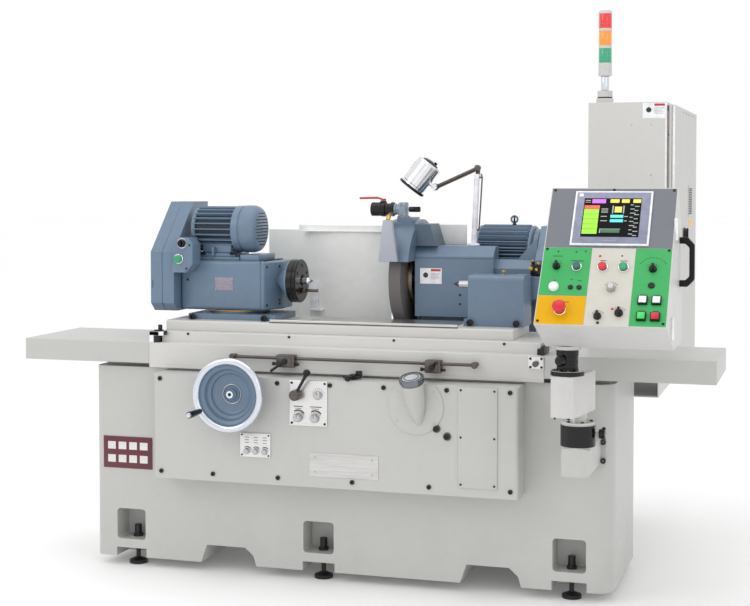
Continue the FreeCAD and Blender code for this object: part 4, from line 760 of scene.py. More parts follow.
def lever_panel():
    """Start lever, table speed knob and the two dwell knobs on their plate."""
    Shape(APRON).block((862, 1012), (614, 784), (0, 5), 2.2).made("lever_plate", PLATE, "bed")
    screws("lever_plate_screws", rows_of((872, 1002), (624, 774), 5), APRON, "bed", 4.5, 2.0)
    marks = Shape(APRON)
    for x, z in ((898, 645), (965, 645)):
        marks.arc((x, z), 25, 30, 35, 125, 5, 5.6)
        marks.ticks((x, z), 20, 24, range(30, 151, 20), 5, 5.5)
    marks.ticks((977, 732), 21, 26, range(20, 161, 20), 5, 5.5)
    marks.block((880, 916), (685, 688), (5, 5.5)).block((944, 990), (685, 688), (5, 5.5))
    marks.block((886, 910), (678, 680), (5, 5.5)).block((950, 980), (678, 680), (5, 5.5))
    marks.made("lever_plate_marks", INK, "bed")
    for name, (x, z) in {"speed_knob": (977, 732), "dwell_knob_left": (898, 645),
                         "dwell_knob_right": (965, 645)}.items():
        knob = Shape(APRON).rod((x, z, -20), (x, z, 6), 4.9)
        knob.spin((x, z, 5.4), OUT, [(0, 15), (0, 17), (5, 17), (7, 15.5), (20, 14.6), (22.5, 12.6),
                                     (22.5, 0)])
        knob.made(name + "_turned", TURNED, name, [name], "plate_aluminium")
        slots(name + "_flutes", round_about(x, z, 16.4, [2 * math.pi * k / 20 for k in range(20)], 8.2),
              APRON, name, 0.4, 1.3, 5.4, TURNED)
        Shape(APRON).block((x - 1, x + 1), (z + 2, z + 13), (27.6, 28.3)).made(name + "_mark", INK, name)
    boss = Shape(APRON)
    boss.spin((892, 730, 5.4), OUT, [(0, 0), (0, 21), (8, 21), (9, 19), (11, 19), (12, 21), (30, 20),
                                     (34, 17), (34, 0)], 48)
    boss.rod((892, 730, -30), (892, 730, 6), 6.9)
    boss.made("start_lever_boss", DARK_STEEL, "start_lever", ["start_lever"], "black_oxide")
    arm = Shape(APRON).rod((892, 730, 24), (938, 806, 34), 5.2, 6.2).rod(
        (936, 803, 34), (940, 809, 34), 8, 8, 2)
    arm.made("start_lever_arm", BLACK, "start_lever")
    Shape(APRON).ball((942, 816, 34), 14).made("start_lever_ball", GLOSS_BLACK, "start_lever")


def lube_panel():
    """Three lubrication adjusters on a plate."""
    Shape(APRON).block((664, 787), (486, 578), (0, 5), 2).made("lube_plate", PLATE, "bed")
    screws("lube_plate_screws", rows_of((672, 779), (494, 570), 5), APRON, "bed", 3.4, 1.6)
    turned = Shape(APRON)
    marks = Shape(APRON)
    for x in (693, 729, 765):
        turned.spin((x, 509, 5), OUT, [(0, 12), (3, 12), (4, 10.5), (15, 10), (17, 8.4), (17, 0)])
        marks.arc((x, 509), 15, 18, 40, 130, 5, 5.5, 6)
        for up in (540, 550, 560):
            marks.block((x - 9, x + 7), (up, up + 2), (5, 5.4))
    turned.made("lube_adjusters", TURNED, "bed")
    marks.made("lube_marks", INK, "bed")


def data_plate():
    """A blank plate held by four rivets."""
    Shape(APRON).block((940, 1208), (427, 515), (0, 2), 0.8).made("data_plate", GROUND, "bed")
    rivets("data_plate_rivets", TURNED, APRON, "bed", rows_of((962, 1184), (443, 499), 2),
           [(0, 4.5), (1.5, 3.8), (2.4, 0)], 20)


def oil_sight():
    """The leaning oil cup with its collar, band and glass."""
    foot, top = Vector((1362, -116, 640)), Vector((1349, -174, 810))
    along = (top - foot).normalized()
    cup = Shape().spin(foot, along, [(-10, 0), (-6, 9), (20, 21), (60, 31), (110, 37.5), (164, 41),
                                     (164, 0)], 56)
    cup.made("oil_sight_cup", PAINT, "bed", ["oil_sight"], "sight_paint")
    rim = [(1350 + 104 * math.cos(t), min(706 + 104 * math.sin(t), 786), 0)
           for t in [math.pi * k / 40 for k in range(80)]]
    Shape(APRON).prism(rim, (0, 0, 4.2), 0.8).made("oil_sight_collar", PAINT, "bed")
    band = Shape().spin(top - along * 12, along, [(0, 40), (0, 43), (6, 43), (7, 45.5), (20, 45.5), (22, 43),
                                                  (22, 36), (14, 35), (14, 0), (0, 0)], 64)
    band.made("oil_sight_band", SMOKED, "bed")
    glass = Shape().spin(top + along * 2.5, along, [(0, 35), (5, 35), (6.5, 33), (7, 0)], 48)
    glass.made("oil_sight_glass", CLEAR, "bed")
    Shape().ring(top + along * 9.5, along, 27, 1.6, 48, 8).made("oil_sight_circle", INK, "bed")
    screws("oil_sight_screws", round_about(1350, 706, 88, (0.66, 2.5, 3.8, 5.6), 4.2), APRON, "bed", 3.6,
           1.6, TURNED)


def handwheel():
    """Stepped dish, round rim, hub, dial and grip."""
    middle = Vector((646, -200, 727))
    dish = Shape().spin(middle + Vector((0, 60, 0)), NEAR, [
        (2, 0), (2, 38), (6, 76), (22, 92), (40, 106), (46, 116), (64, 117), (66, 114), (58, 111),
        (54, 106), (52, 98), (46, 95), (36, 92), (33, 88), (31, 80), (22, 76), (19, 72), (17, 66), (16, 32),
        (20, 28), (21, 24), (30, 22), (34, 18), (34, 0)], 96)
    dish.made("handwheel_dish", BLUE, "handwheel", ["handwheel"], "blue_grey_paint")
    Shape().ring(middle, (0, 1, 0), 127, 14, 96, 16).made("handwheel_rim", RIM, "handwheel")
    hub = Shape().spin(middle + Vector((0, 30, 0)), NEAR, [
        (0, 15), (10, 15), (12, 13.5), (12, 7), (6, 6.4), (6, 0)], 48)
    hub.rod((646, -150, 727), (646, -80, 727), 14.9)
    hub.made("handwheel_hub", CHROME, "handwheel")
    # A matt black disc in the hub's recess: painted shade in the bore.
    Shape().spin(middle + Vector((0, 22, 0)), NEAR, [(0, 0), (0, 5.6), (1.4, 5.6), (1.4, 0)], 24).made(
        "handwheel_hub_bore_shade", MATT_BLACK, "handwheel")
    Shape().ring(middle + Vector((0, 41, 0)), (0, 1, 0), 36, 1.3, 48, 8).made(
        "handwheel_dial", PLATE, "handwheel")
    grip = Shape().spin((538, -205, 664), NEAR, [
        (0, 9), (4, 10), (20, 11), (60, 12.5), (96, 13), (104, 12), (104, 0)], 32)
    grip.made("handwheel_grip", GLOSS_BLACK, "handwheel")
    ends = Shape().rod((538, -192, 664), (538, -207, 664), 9, soft=1).rod(
        (538, -308, 664), (538, -318, 664), 10, 8, 2)
    ends.made("handwheel_grip_ends", RIM, "handwheel")


# ------------------------------------------------------------ tables
def tables():
    """Lower table, wings, swivelling upper table, dog rail and end clamps."""
    softened("lower_table", LIGHT, 2.5)
    softened("table_wings", PAINT, 1.8)
    softened("upper_table", LIGHT, 1.2)
    bar = Shape().rod((607, -52, 855), (1553, -52, 855), 6, soft=0.8)
    bar.made("dog_rail_bar", DARK_STEEL, "table", ["dog_rail"], "ground_steel")
    ends = Shape()
    for x in (607, 1553):
        ends.spin((x, -25, 855), NEAR, [(0, 9), (22, 9), (26, 12), (37, 12.5), (42, 10), (42, 0)], 32)
    ends.made("dog_rail_ends", DARK_STEEL, "table")
    screws("step_screws", [(x, 930, 0) for x in (398, 816, 1232, 1651)], BED_FRONT, "table", 5, 2.5)
    Shape().block((820, 1440), (64, 346), (976.6, 977.05)).made("ground_strip", GROUND, "swivel_table")
    Shape().block((716, 1463), (52, 66), (976.8, 990), 2).made("ground_edge", GROUND, "swivel_table")
    Shape().block((716, 1463), (51.4, 52), (977.2, 981)).made("ground_edge_shade", DARK_STEEL, "swivel_table")
    Shape().block((243, 1802), (-24.6, -16), (797, 810), 1).made("table_skirt", LIGHT, "table")
    end = Shape().block((244, 304), (-25, -1), (922, 938), 1.5).block((244, 285), (-25, 60), (922, 938), 1.5)
    end.block((244, 262), (-25, 60), (895, 923), 1.5)
    end.made("left_clamp", WHITE, "table", ["swivel_clamps"], "black_oxide")
    lock = Shape().block((264, 284), (-25, 20), (895, 921), 1.5).block((262, 296), (-22, -2), (938, 944), 1.5)
    lock.block((304.4, 311), (-24, -3), (924, 941), 1).rod((285, -12, 944), (285, -12, 964), 8.5, soft=3)
    lock.made("left_clamp_lock", BLACK, "table")
    right = Shape().block((1790, 1803), (-25, 80), (895, 926), 1.5).block(
        (1776, 1790), (-18, 40), (896, 918), 1.5)
    right.made("right_clamp", BLACK, "table")
    Shape(TABLE_FRONT).block((1746, 1803), (846, 891), (0, 6), 2).made("right_plate", PLATE, "table")
    screws("right_plate_screws", rows_of((1754, 1795), (853, 884), 6), TABLE_FRONT, "table", 4.6,
           2.4)
    knob = Shape(TABLE_FRONT).spin((1775, 866, 6), OUT, [(0, 6), (8, 6), (9, 11), (18, 11), (20, 9), (20, 0)])
    knob.made("right_plate_knob", DARK_STEEL, "table")


def dog(name, x0, x1, lever_x, lever_z):
    """A trip dog: block, clamp screw and lever, and the striker pins at its ends."""
    mid = (x0 + x1) / 2
    block = Shape().block((x0, x1), (-72, -34), (822, 869), 4).block(
        (x0 + 12, x1 - 10), (-76, -70), (828, 862), 3)
    block.made(name + "_block", DARK_STEEL, name, [name], "black_oxide")
    pins = Shape().rod((x0 - 16, -60, 834), (x0, -60, 834), 5, soft=1).rod(
        (x1, -60, 834), (x1 + 16, -60, 834), 5, soft=1)
    pins.rod((x0 - 18, -60, 834), (x0 - 10, -60, 834), 7, soft=1)
    pins.made(name + "_pins", BLACK, name)
    screw = Shape().spin((mid, -74, 846), NEAR, [(0, 12), (6, 12), (8, 10), (14, 10), (16, 8), (16, 0)])
    screw.made(name + "_screw", BLACK, name)
    end = Vector((lever_x - 6, -94, lever_z - 8))
    Shape().rod((mid, -84, 846), end, 4.2, 5.4).ball(end, 5.6).made(name + "_lever", GLOSS_BLACK, name)


def reversing_lever():
    """The lever that the trip dogs push."""
    post = Shape().spin((1096, -74, 788.4), OUT, [(0, 17), (6, 17), (7, 14), (15, 14), (20, 11), (20, 0)])
    post.block((1060, 1128), (-82, -66), (792, 803), 3)
    post.rod((1074, -84, 800), (1068, -100, 800), 6, soft=1)
    post.made("reversing_post", BLACK, "reversing_lever", ["reversing_lever"], "black_oxide")
    arm = Shape().rod((1100, -76, 799), (1095, -128, 799), 5.4, 4.6).block(
        (1104, 1128), (-74, -58), (798, 820), 3)
    arm.made("reversing_arm", BLACK, "reversing_lever")
    Shape().ball((1094, -133, 799), 12).made("reversing_ball", GLOSS_BLACK, "reversing_lever")


# ------------------------------------------------------------ headstock
CENTRE_Y, CENTRE_Z = 240.0, 1129.0
HEAD_FACE = facing_front(148.0)
END_SLANT = Vector((39, 112, 0)).normalized()
END_FACE = Matrix(((END_SLANT.x, 0, END_SLANT.y, 655), (END_SLANT.y, 0, -END_SLANT.x, 150), (0, 1, 0, 0),
                   (0, 0, 0, 1)))


def headstock():
    """Headstock on its swivel base, with its plate and screws."""
    softened("headstock_base", BLUE, 1.5)
    headstock_case()
    softened("headstock_centre", CHROME, 0.0)
    belt_guard = softened("headstock_belt_guard", BLUE, 9.0, 4, guard_lean)
    Shape().spin((505, 275, 1006.6), OUT, [(0, 0), (0, 119), (0.5, 121.5), (4.5, 121.5), (5, 119), (5, 0)],
                 96).made("swivel_ring", BRASS, "headstock")
    Shape().spin((505, 275, 978), OUT, [(0, 0), (0, 123), (20, 123), (22, 121), (22, 0)], 96).made(
        "swivel_skirt", BLUE, "swivel_table")
    screws("headstock_base_nuts", [(374, 988, 0), (676, 988, 0)], facing_front(101), "swivel_table", 13, 10,
           GLOSS_BLACK)
    screws("headstock_end_screws", [(18, 1185, 0), (18, 1034, 0), (96, 1050, 0), (96, 1036, 0),
                                    (96, 1185, 0)], END_FACE, "headstock", 4.5, 2)
    screws("headstock_side_screw", [(332, 1131, 0)], HEAD_FACE, "headstock", 5, 2)
    plate = Shape(HEAD_FACE).block((449, 526), (1091, 1143), (0, 1.2), 0.5)
    plate.made("headstock_data_plate", MAUVE, "headstock")
    lines = Shape(HEAD_FACE)
    for k in range(6):
        lines.block((456, 516 - 9 * (k % 3)), (1098 + 7 * k, 1100.5 + 7 * k), (1.2, 1.5))
    lines.made("headstock_data_lines", GREY_INK, "headstock")
    rivets("headstock_data_rivets", TURNED, HEAD_FACE, "headstock", rows_of((453, 522), (1095, 1139), 1.2),
           [(0, 2.6), (1, 2), (1.4, 0)], 14)
    drive_plate()
    headstock_motor()
    control_box()


def guard_lean(spot):
    """The guard's front leans back above the shaft and its upper half is slimmer."""
    lean = max(0.0, min(1.0, (spot.z - 1243) / 197))
    if spot.y < 300:
        spot.y += 84 * lean
    elif spot.z > 1400:
        spot.y = 424
    spot.x = 300 - (300 - spot.x) * 0.87
    return spot


def headstock_case():
    """Gearbox case with a slanted nose and the cone round the spindle."""
    case = Shape().block((300, 654), (148, 400), (1012, 1208), 14, 4)
    case.prism([(640, 150, 1014), (655, 150, 1014), (694, 262, 1014), (694, 372, 1014), (640, 398, 1014)],
               (0, 0, 191), 8, 4)
    case.spin((680, CENTRE_Y, CENTRE_Z), RIGHT, [
        (0, 0), (0, 16), (14, 30), (54, 79), (60, 80), (61.4, 80), (61.4, 0)], 72)
    case.made("headstock_case", BLUE, "headstock", ["headstock_body"], "blue_grey_paint")
    # A thin strip of the shaded blue where the case meets the nose: painted shade in the seam.
    seam = Shape().block((640, 641.6), (147.2, 401), (1011, 1208.8))
    seam.made("headstock_end_seam_shade", SHADED_BLUE, "headstock")


def drive_plate():
    """The plate that drives the work, with its pin."""
    disc = Shape().spin((742, CENTRE_Y, CENTRE_Z), RIGHT, [
        (0, 14.1), (0, 84), (2, 86), (22, 86), (24, 84), (26, 86), (37, 86), (41, 82), (41, 24), (36, 22),
        (36, 14.1)], 96, closed=True)
    disc.spin((706, CENTRE_Y, CENTRE_Z), RIGHT, [(0, 14.1), (0, 39.9), (36, 39.9), (36, 14.1)], 48,
              closed=True)
    disc.made("drive_plate_disc", GLOSS_BLACK, "drive_plate", ["drive_plate"], "black_oxide")
    pin = Shape().rod((783, 236, 1091), (799, 236, 1091), 12.6, soft=2, sides=6)
    pin.rod((799, 236, 1091), (850.5, 236, 1091), 6, soft=1)
    pin.made("drive_pin", DARK_STEEL, "drive_plate")
    screws("drive_plate_screws", round_about(CENTRE_Y, CENTRE_Z, 62, (0.5, 1.55, 2.6, 4.0, 5.4)),
           facing_right(783), "drive_plate", 6, 1.2)


DRIVE_Y, DRIVE_Z = 262.0, 1332.0


def headstock_motor():
    """Finned motor, its grille and its bed."""
    fins("headstock_motor_fins", (424, DRIVE_Y, DRIVE_Z), 24, 170, 74, 14, 4.6, BLUE, "headstock")
    core = Shape().rod((336, DRIVE_Y, DRIVE_Z), (512, DRIVE_Y, DRIVE_Z), 74.5, sides=64)
    core.made("headstock_motor_core", SHADE_BLUE, "headstock", ["headstock_motor"], "blue_grey_paint")
    shell = Shape().spin((330, DRIVE_Y, DRIVE_Z), RIGHT, [
        (-2, 0), (-2, 60), (0, 76), (4, 86), (14, 88), (18, 84), (18, 0)], 64)
    shell.spin((510, DRIVE_Y, DRIVE_Z), RIGHT, [
        (-8, 0), (-8, 88), (-4, 93), (22, 93), (24, 90), (30, 90), (33, 94.6), (64, 94.6), (80, 90),
        (90, 82), (94, 74), (94, 0)], 72)
    shell.made("headstock_motor_shell", BLUE, "headstock")
    places = []
    for row in range(-5, 6):
        for column in range(-4, 5):
            across, up = column * 16 + (row % 2) * 8, row * 12.5
            if 12 < math.hypot(across, up) < 68:
                places.append((DRIVE_Y + across, DRIVE_Z + up, 0.4))
    slots("headstock_motor_grille", places, facing_right(603.6), "headstock", 8.0, 5.0, 1.2, SHADE_BLUE)
    Shape(facing_right(604)).spin((DRIVE_Y, DRIVE_Z, 0), OUT, [(0, 6), (1.5, 5), (2, 0)], 20).made(
        "headstock_motor_stud", BLACK, "headstock")
    bed = Shape().block((334, 540), (180, 344), (1207, 1222), 3).block(
        (352, 520), (188, 336), (1222, 1236), 3)
    bed.block((374, 496), (200, 324), (1236, 1270), 4).block((424, 432), (172, 196), (1222, 1262), 2)
    bed.block((546, 626), (170, 354), (1207, 1232), 5)
    bed.made("headstock_motor_bed", BLUE, "headstock")
    screws("headstock_motor_bolts", [(372, 1236, 0), (388, 1236, 0), (506, 1236, 0), (522, 1236, 0)],
           facing_front(186), "headstock", 7, 8)
    # A thin matt black strip lying in the slot on top: painted shade in the gap.
    gap = Shape().block((630, 648), (176, 384), (1207.6, 1208.6), 0)
    gap.made("headstock_top_slot_shade", MATT_BLACK, "headstock")


def control_box():
    """Eight-sided box with a knob and a green button."""
    face = facing_front(66)
    outline = [(303, 66, 1180), (303, 66, 1280), (322, 66, 1300), (366, 66, 1300), (388, 66, 1276),
               (388, 66, 1196), (366, 66, 1168), (326, 66, 1162)]
    Shape().prism(outline, (0, 84, 0), 7, 4).made("control_box", BLUE, "headstock")
    screws("control_box_screws", [(376, 1272, 0), (362, 1180, 0)], face, "headstock", 4, 2)
    knob = Shape(face).spin((343, 1279, 0.4), OUT, [(0, 17), (4, 17), (6, 15), (12, 14), (12, 0)], 36)
    knob.rod((343, 1279, -24), (343, 1279, 2), 4.95)
    knob.block((339, 347), (1265, 1293), (10, 21.6), 1.5)
    knob.made("headstock_knob_cap", GLOSS_BLACK, "headstock_knob", ["headstock_knob"], "black_plastic")
    ring = Shape(face).spin((329, 1217, 0), OUT, [(0, 15.7), (0, 20), (3, 20), (5, 18), (5, 15.7)], 40,
                            closed=True)
    ring.spin((343, 1279, 0), OUT, [(-0.1, 5.2), (-0.1, 20), (0.3, 20), (0.3, 5.2)], 40, closed=True)
    ring.made("control_box_rings", CHROME, "headstock")
    button = Shape(face).spin((329, 1217, -20), OUT, [
        (0, 0), (0, 10.9), (25.6, 10.9), (25.6, 15), (36, 15), (38, 13), (38, 0)], 40)
    button.made("headstock_button_cap", GREEN, "headstock_button", ["headstock_button"], "green_plastic")
    # The catch is coloured in the shaded copy of the blue: painted shade.
    Shape().block((206, 210), (82.8, 85), (1100, 1132), 0).made("belt_guard_catch", SHADED_BLUE, "headstock")


# ------------------------------------------------------------ tailstock
def tailstock():
    """Tailstock with its quill, centre and oiler."""
    softened("tailstock_body", BLUE, 2.0)
    face = facing_front(148)
    screws("tailstock_nuts", [(1490, 992, 12), (1667, 992, 12)], face, "tailstock", 12.6, 6, GLOSS_BLACK)
    quill = Shape().rod((1424, CENTRE_Y, CENTRE_Z), (1589, CENTRE_Y, CENTRE_Z), 13.5, soft=0.6, sides=48)
    quill.made("quill_sleeve", TURNED, "quill", ["tailstock_quill"], "chrome")
    Shape().spin((1424, CENTRE_Y, CENTRE_Z), (-1, 0, 0), [(0, 0), (0, 11.5), (3, 11.5), (24, 0)], 40).made(
        "quill_centre", DARK_STEEL, "quill")
    oiler = Shape().spin((1603, 210, 1167), OUT, [(0, 0), (0, 7), (6, 7), (7, 5), (13, 5), (14, 7.5), (20, 7),
                                                  (21, 0)], 24)
    oiler.made("tailstock_oiler", BRASS, "tailstock")
    Shape().block((1640, 1686), (170, 282), (1166, 1170), 1.5).made("tailstock_cap", BLUE, "tailstock")


# ------------------------------------------------------------ wheelhead
WHEEL_Y = 532.0
MOTOR_Y, MOTOR_Z = 672.0, 1216.0
VALVE_Y, VALVE_Z = 470.0, 1410.0


def wheelhead():
    """Housing, wheel, guard, motor, coolant valve and lubricator."""
    softened("wheelhead_housing", BLUE, 3.0)
    softened("wheelhead_motor", BLUE, 0.0)
    softened("wheelhead_belt_guard", BLUE, 4.0)
    # The guard's faces inside the second box get the shaded blue: painted shade on the shoulder.
    softened("wheel_guard", BLUE, 3.0, patches=[(SHEET, (1190, 636, 1200), (1360, 650, 1350)),
                                                (SHADED_BLUE, (1202, 400, 1250), (1300, 566, 1380))])
    softened("wheel_spindle", GROUND, 0.8)
    softened("valve_lever", LEVER_RED, 0.6)
    front = facing_front(405)
    label("wheelhead_notice", front, "wheelhead", (1222, 1311), (1116, 1178), 0.0, RED_INK)
    screws("wheelhead_screws", [(1386, 1074, 0), (1386, 1038, 0)], front, "wheelhead", 4.5, 2)
    # A thin strip of the shaded blue along the housing front: painted shade in the crease.
    Shape(front).block((1201, 1518), (1217.5, 1220), (0, 0.9)).made("housing_crease_shade", SHADED_BLUE, "wheelhead")
    wheel = Shape().spin((1112, WHEEL_Y, CENTRE_Z), RIGHT, [
        (0, 63), (0, 200.5), (1.5, 202), (47.5, 202), (49, 200.5), (49, 63)], 144, closed=True)
    wheel.made("grinding_wheel_disc", ABRASIVE, "wheel", ["grinding_wheel"], "abrasive")
    flange = Shape().spin((1161, WHEEL_Y, CENTRE_Z), RIGHT, [
        (0, 66), (0, 104), (4, 104), (6, 102), (6, 66)], 96, closed=True)
    flange.made("wheel_flange_ring", BRASS, "wheel")
    inner = Shape().spin((1167, WHEEL_Y, CENTRE_Z), RIGHT, [(0, 34), (0, 98), (8, 98), (12, 92), (12, 34)],
                         96, closed=True)
    inner.made("wheel_flange", BLACK, "wheel")
    screws("wheel_flange_screws", round_about(
        WHEEL_Y, CENTRE_Z, 82, [math.pi / 3 * k for k in range(6)], 12), facing_right(1167), "wheel", 7, 3)
    nozzle = Shape().prism([(1088, 274, 1208), (1165, 274, 1208), (1141, 274, 1371), (1106, 274, 1371)],
                           (0, 24, 0), 2)
    nozzle.made("coolant_nozzle", NOZZLE, "wheelhead", ["coolant_valve"])
    valve = Shape().spin((1000, VALVE_Y, VALVE_Z), RIGHT, [
        (2, 0), (2, 26), (4, 28), (44, 28), (46, 30), (60, 30), (62, 24), (84, 24), (86, 29), (96, 29),
        (98, 18), (98, 0)], 40)
    valve.rod((1050, 470, 1436), (1050, 470, 1444), 16, 12, 2)
    valve.rod((1158, VALVE_Y, VALVE_Z), (1205, VALVE_Y, VALVE_Z), 11, soft=3)
    valve.made("coolant_valve_body", GLOSS_BLACK, "wheelhead")
    fitting = Shape().spin((1098, VALVE_Y, VALVE_Z), RIGHT, [
        (0, 0), (0, 23), (8, 23), (9, 20), (14, 20), (15, 25), (24, 25), (25, 0)], 8)
    fitting.block((1120, 1150), (446, 494), (1380, 1438), 4).rod(
        (1136, 470, 1352), (1136, 470, 1384), 30, 26, 3)
    fitting.made("coolant_fitting", FITTING, "wheelhead")
    screws("coolant_fitting_bolts", [(1127, 1388, 0), (1144, 1388, 0), (1127, 1430, 0), (1144, 1430, 0)],
           facing_front(446), "wheelhead", 5, 5, TURNED)
    pipe = Shape().tube([(1088, 462, 1398), (1096, 400, 1388), (1122, 300, 1382), (1123, 288, 1368)], 9, 16)
    pipe.made("coolant_pipe", BRASS, "wheelhead")
    fins("wheelhead_motor_fins", (1520, MOTOR_Y, MOTOR_Z), 30, 196, 113, 14.5, 6.0, BLUE, "wheelhead")
    Shape().rod((1424, MOTOR_Y, MOTOR_Z), (1616, MOTOR_Y, MOTOR_Z), 115,
                sides=72).made("wheelhead_motor_core", SHADE_BLUE, "wheelhead")
    ends = Shape()
    for x, way in ((1422, -1), (1624, 1)):
        ends.spin((x, MOTOR_Y, MOTOR_Z), (way, 0, 0), [
            (0, 0), (0, 118), (2, 126), (10, 127), (16, 122), (20, 110), (20, 0)], 64)
    ends.made("wheelhead_motor_ends", BLUE, "wheelhead")
    eye = Shape().rod((1548, 672, 1340), (1548, 672, 1352), 11, 7, 1).rod(
        (1548, 672, 1352), (1548, 672, 1358), 5)
    eye.ring((1548, 672, 1367), (1, 0.25, 0), 12, 3.4, 40, 10)
    eye.made("motor_eye_bolt", BLACK, "wheelhead")
    sign = Shape(facing_front(429.6)).prism([(1700, 1170, 0), (1742, 1170, 0), (1721, 1206, 0)], (0, 0, 0.9))
    sign.made("belt_guard_notice", YELLOW_INK, "wheelhead")
    pump = Shape().block((1682, 1726), (326, 372), (1158, 1204), 4).rod(
        (1690, 346, 1204), (1690, 346, 1216), 7, soft=1)
    pump.made("lubricator_head", GLOSS_BLACK, "wheelhead")
    Shape().block((1680, 1727), (296, 376), (1070, 1157), 4).block(
        (1678, 1729), (294, 378), (1150, 1158), 1.5).made("lubricator_cup", BLUE, "wheelhead")
    bits = Shape().rod((1690, 298, 1190), (1690, 292, 1190), 8, soft=1).rod(
        (1712, 298, 1186), (1712, 290, 1186), 6, soft=1)
    bits.rod((1690, 330, 1214), (1690, 330, 1222), 5, soft=1).rod(
        (1712, 330, 1203), (1712, 330, 1214), 5, soft=1)
    bits.made("lubricator_unions", BRASS, "wheelhead")
    # The arm is coloured in the shaded copy of the blue: painted shade.
    Shape().block((1600, 1726), (376, 428), (1076, 1150), 2).made("lubricator_arm", SHADED_BLUE, "wheelhead")


# ------------------------------------------------------------ lamp
def lamp():
    """Work lamp: post, jointed arm and can."""
    bar = Shape().rod((1423, 484, 1266.4), (1423, 484, 1276), 24, 22, 2).rod(
        (1423, 484, 1274), (1435, 484, 1552), 11, soft=2)
    bar.made("lamp_post_bar", SLEEVE, "lamp_post", ["lamp_post"], "chrome")
    tie = Shape().tube([(1443, 484, 1326), (1449, 484, 1420), (1456, 484, 1538), (1452, 486, 1552)], 3, 12)
    tie.rod((1423, 484, 1330), (1445, 484, 1330), 4).rod((1434, 484, 1538), (1458, 484, 1538), 4)
    tie.rod((1436, 490.4, 1576), (1436, 500, 1576), 12, soft=1.5).block(
        (1427, 1445), (490.4, 498), (1534, 1576), 2)
    tie.made("lamp_post_stay", DARK_STEEL, "lamp_post")
    arm = Shape().rod((1436, 476, 1576), (1436, 489.6, 1576), 12, soft=1.5).tube(
        [(1436, 482, 1576), (1354, 466, 1538), (1272, 450, 1500)], 6.4)
    arm.tube([(1440, 478, 1568), (1356, 460, 1529), (1284, 446, 1496)], 2.4, 10)
    arm.made("lamp_arm_bars", DARK_STEEL, "lamp_arm", ["lamp_arm"], "chrome")
    Shape().spin((1272, 463, 1500), NEAR, [(0, 0), (0, 12), (3, 14), (22, 14), (25, 12), (25, 0)], 32).made(
        "lamp_knuckle", BLACK, "lamp_arm")
    axis = Vector((-0.60, -0.12, -0.79)).normalized()
    back = Vector((1254, 442, 1594))
    can = Shape().spin(back, axis, [(0, 0), (0, 44), (3, 49), (8, 52), (106, 52), (108, 50), (118, 50),
                                    (118, 47), (28, 47), (28, 0)], 72)
    can.made("lamp_can", CHROME, "lamp_head", ["lamp_head"], "chrome")
    ring = Shape().spin(back + axis * 116, axis, [(0, 46), (0, 57), (3, 58), (8, 58), (11, 54), (11, 46)], 72,
                        closed=True)
    ring.spin(back + axis * 2, axis * -1, [(0, 0), (0, 36), (6, 34), (12, 22), (14, 0)], 48)
    side = Vector((0.79, 0.1, -0.6)).normalized()
    ring.rod(back + axis * 2 + side * 18, back - axis * 16 + side * 18, 5, 7, 1)
    ring.made("lamp_trim", GLOSS_BLACK, "lamp_head")
    Shape().spin(back + axis * 108, axis, [(0, 0), (0, 46.6), (3, 46.6), (5, 40), (6, 0)],
                 48).made("lamp_glass", CLEAR, "lamp_head")
    slots("lamp_vents", [(0, 40 - 12 * k, 52.2) for k in range(3)],
          Matrix.Translation(back + axis * 18) @ axis.to_track_quat("Y", "Z").to_matrix().to_4x4(),
          "lamp_head", 18, 3, 1, GLOSS_BLACK)
    lug = Shape().rod((1272, 437.4, 1500), (1272, 426, 1500), 13, 11, 1.5).tube(
        [(1272, 431, 1500), (1258, 429, 1512), (1240, 428, 1528)], 6.5)
    lug.made("lamp_lug", CHROME, "lamp_head")


# ------------------------------------------------------------ cabinet
SWITCH_Y = 1044.0


def body_drawn_in(spot):
    """The body's right side stands a little further in, with a deeper rim for the seal."""
    return spot if spot.x < 2150 else Vector((2162.4 + (spot.x - 2178) * 1.2, spot.y, spot.z))


def door_drawn_in(spot):
    """The door is half as thick as its solid and lies against the rim."""
    return Vector((2182 + (spot.x - 2194) / 2, spot.y, spot.z))


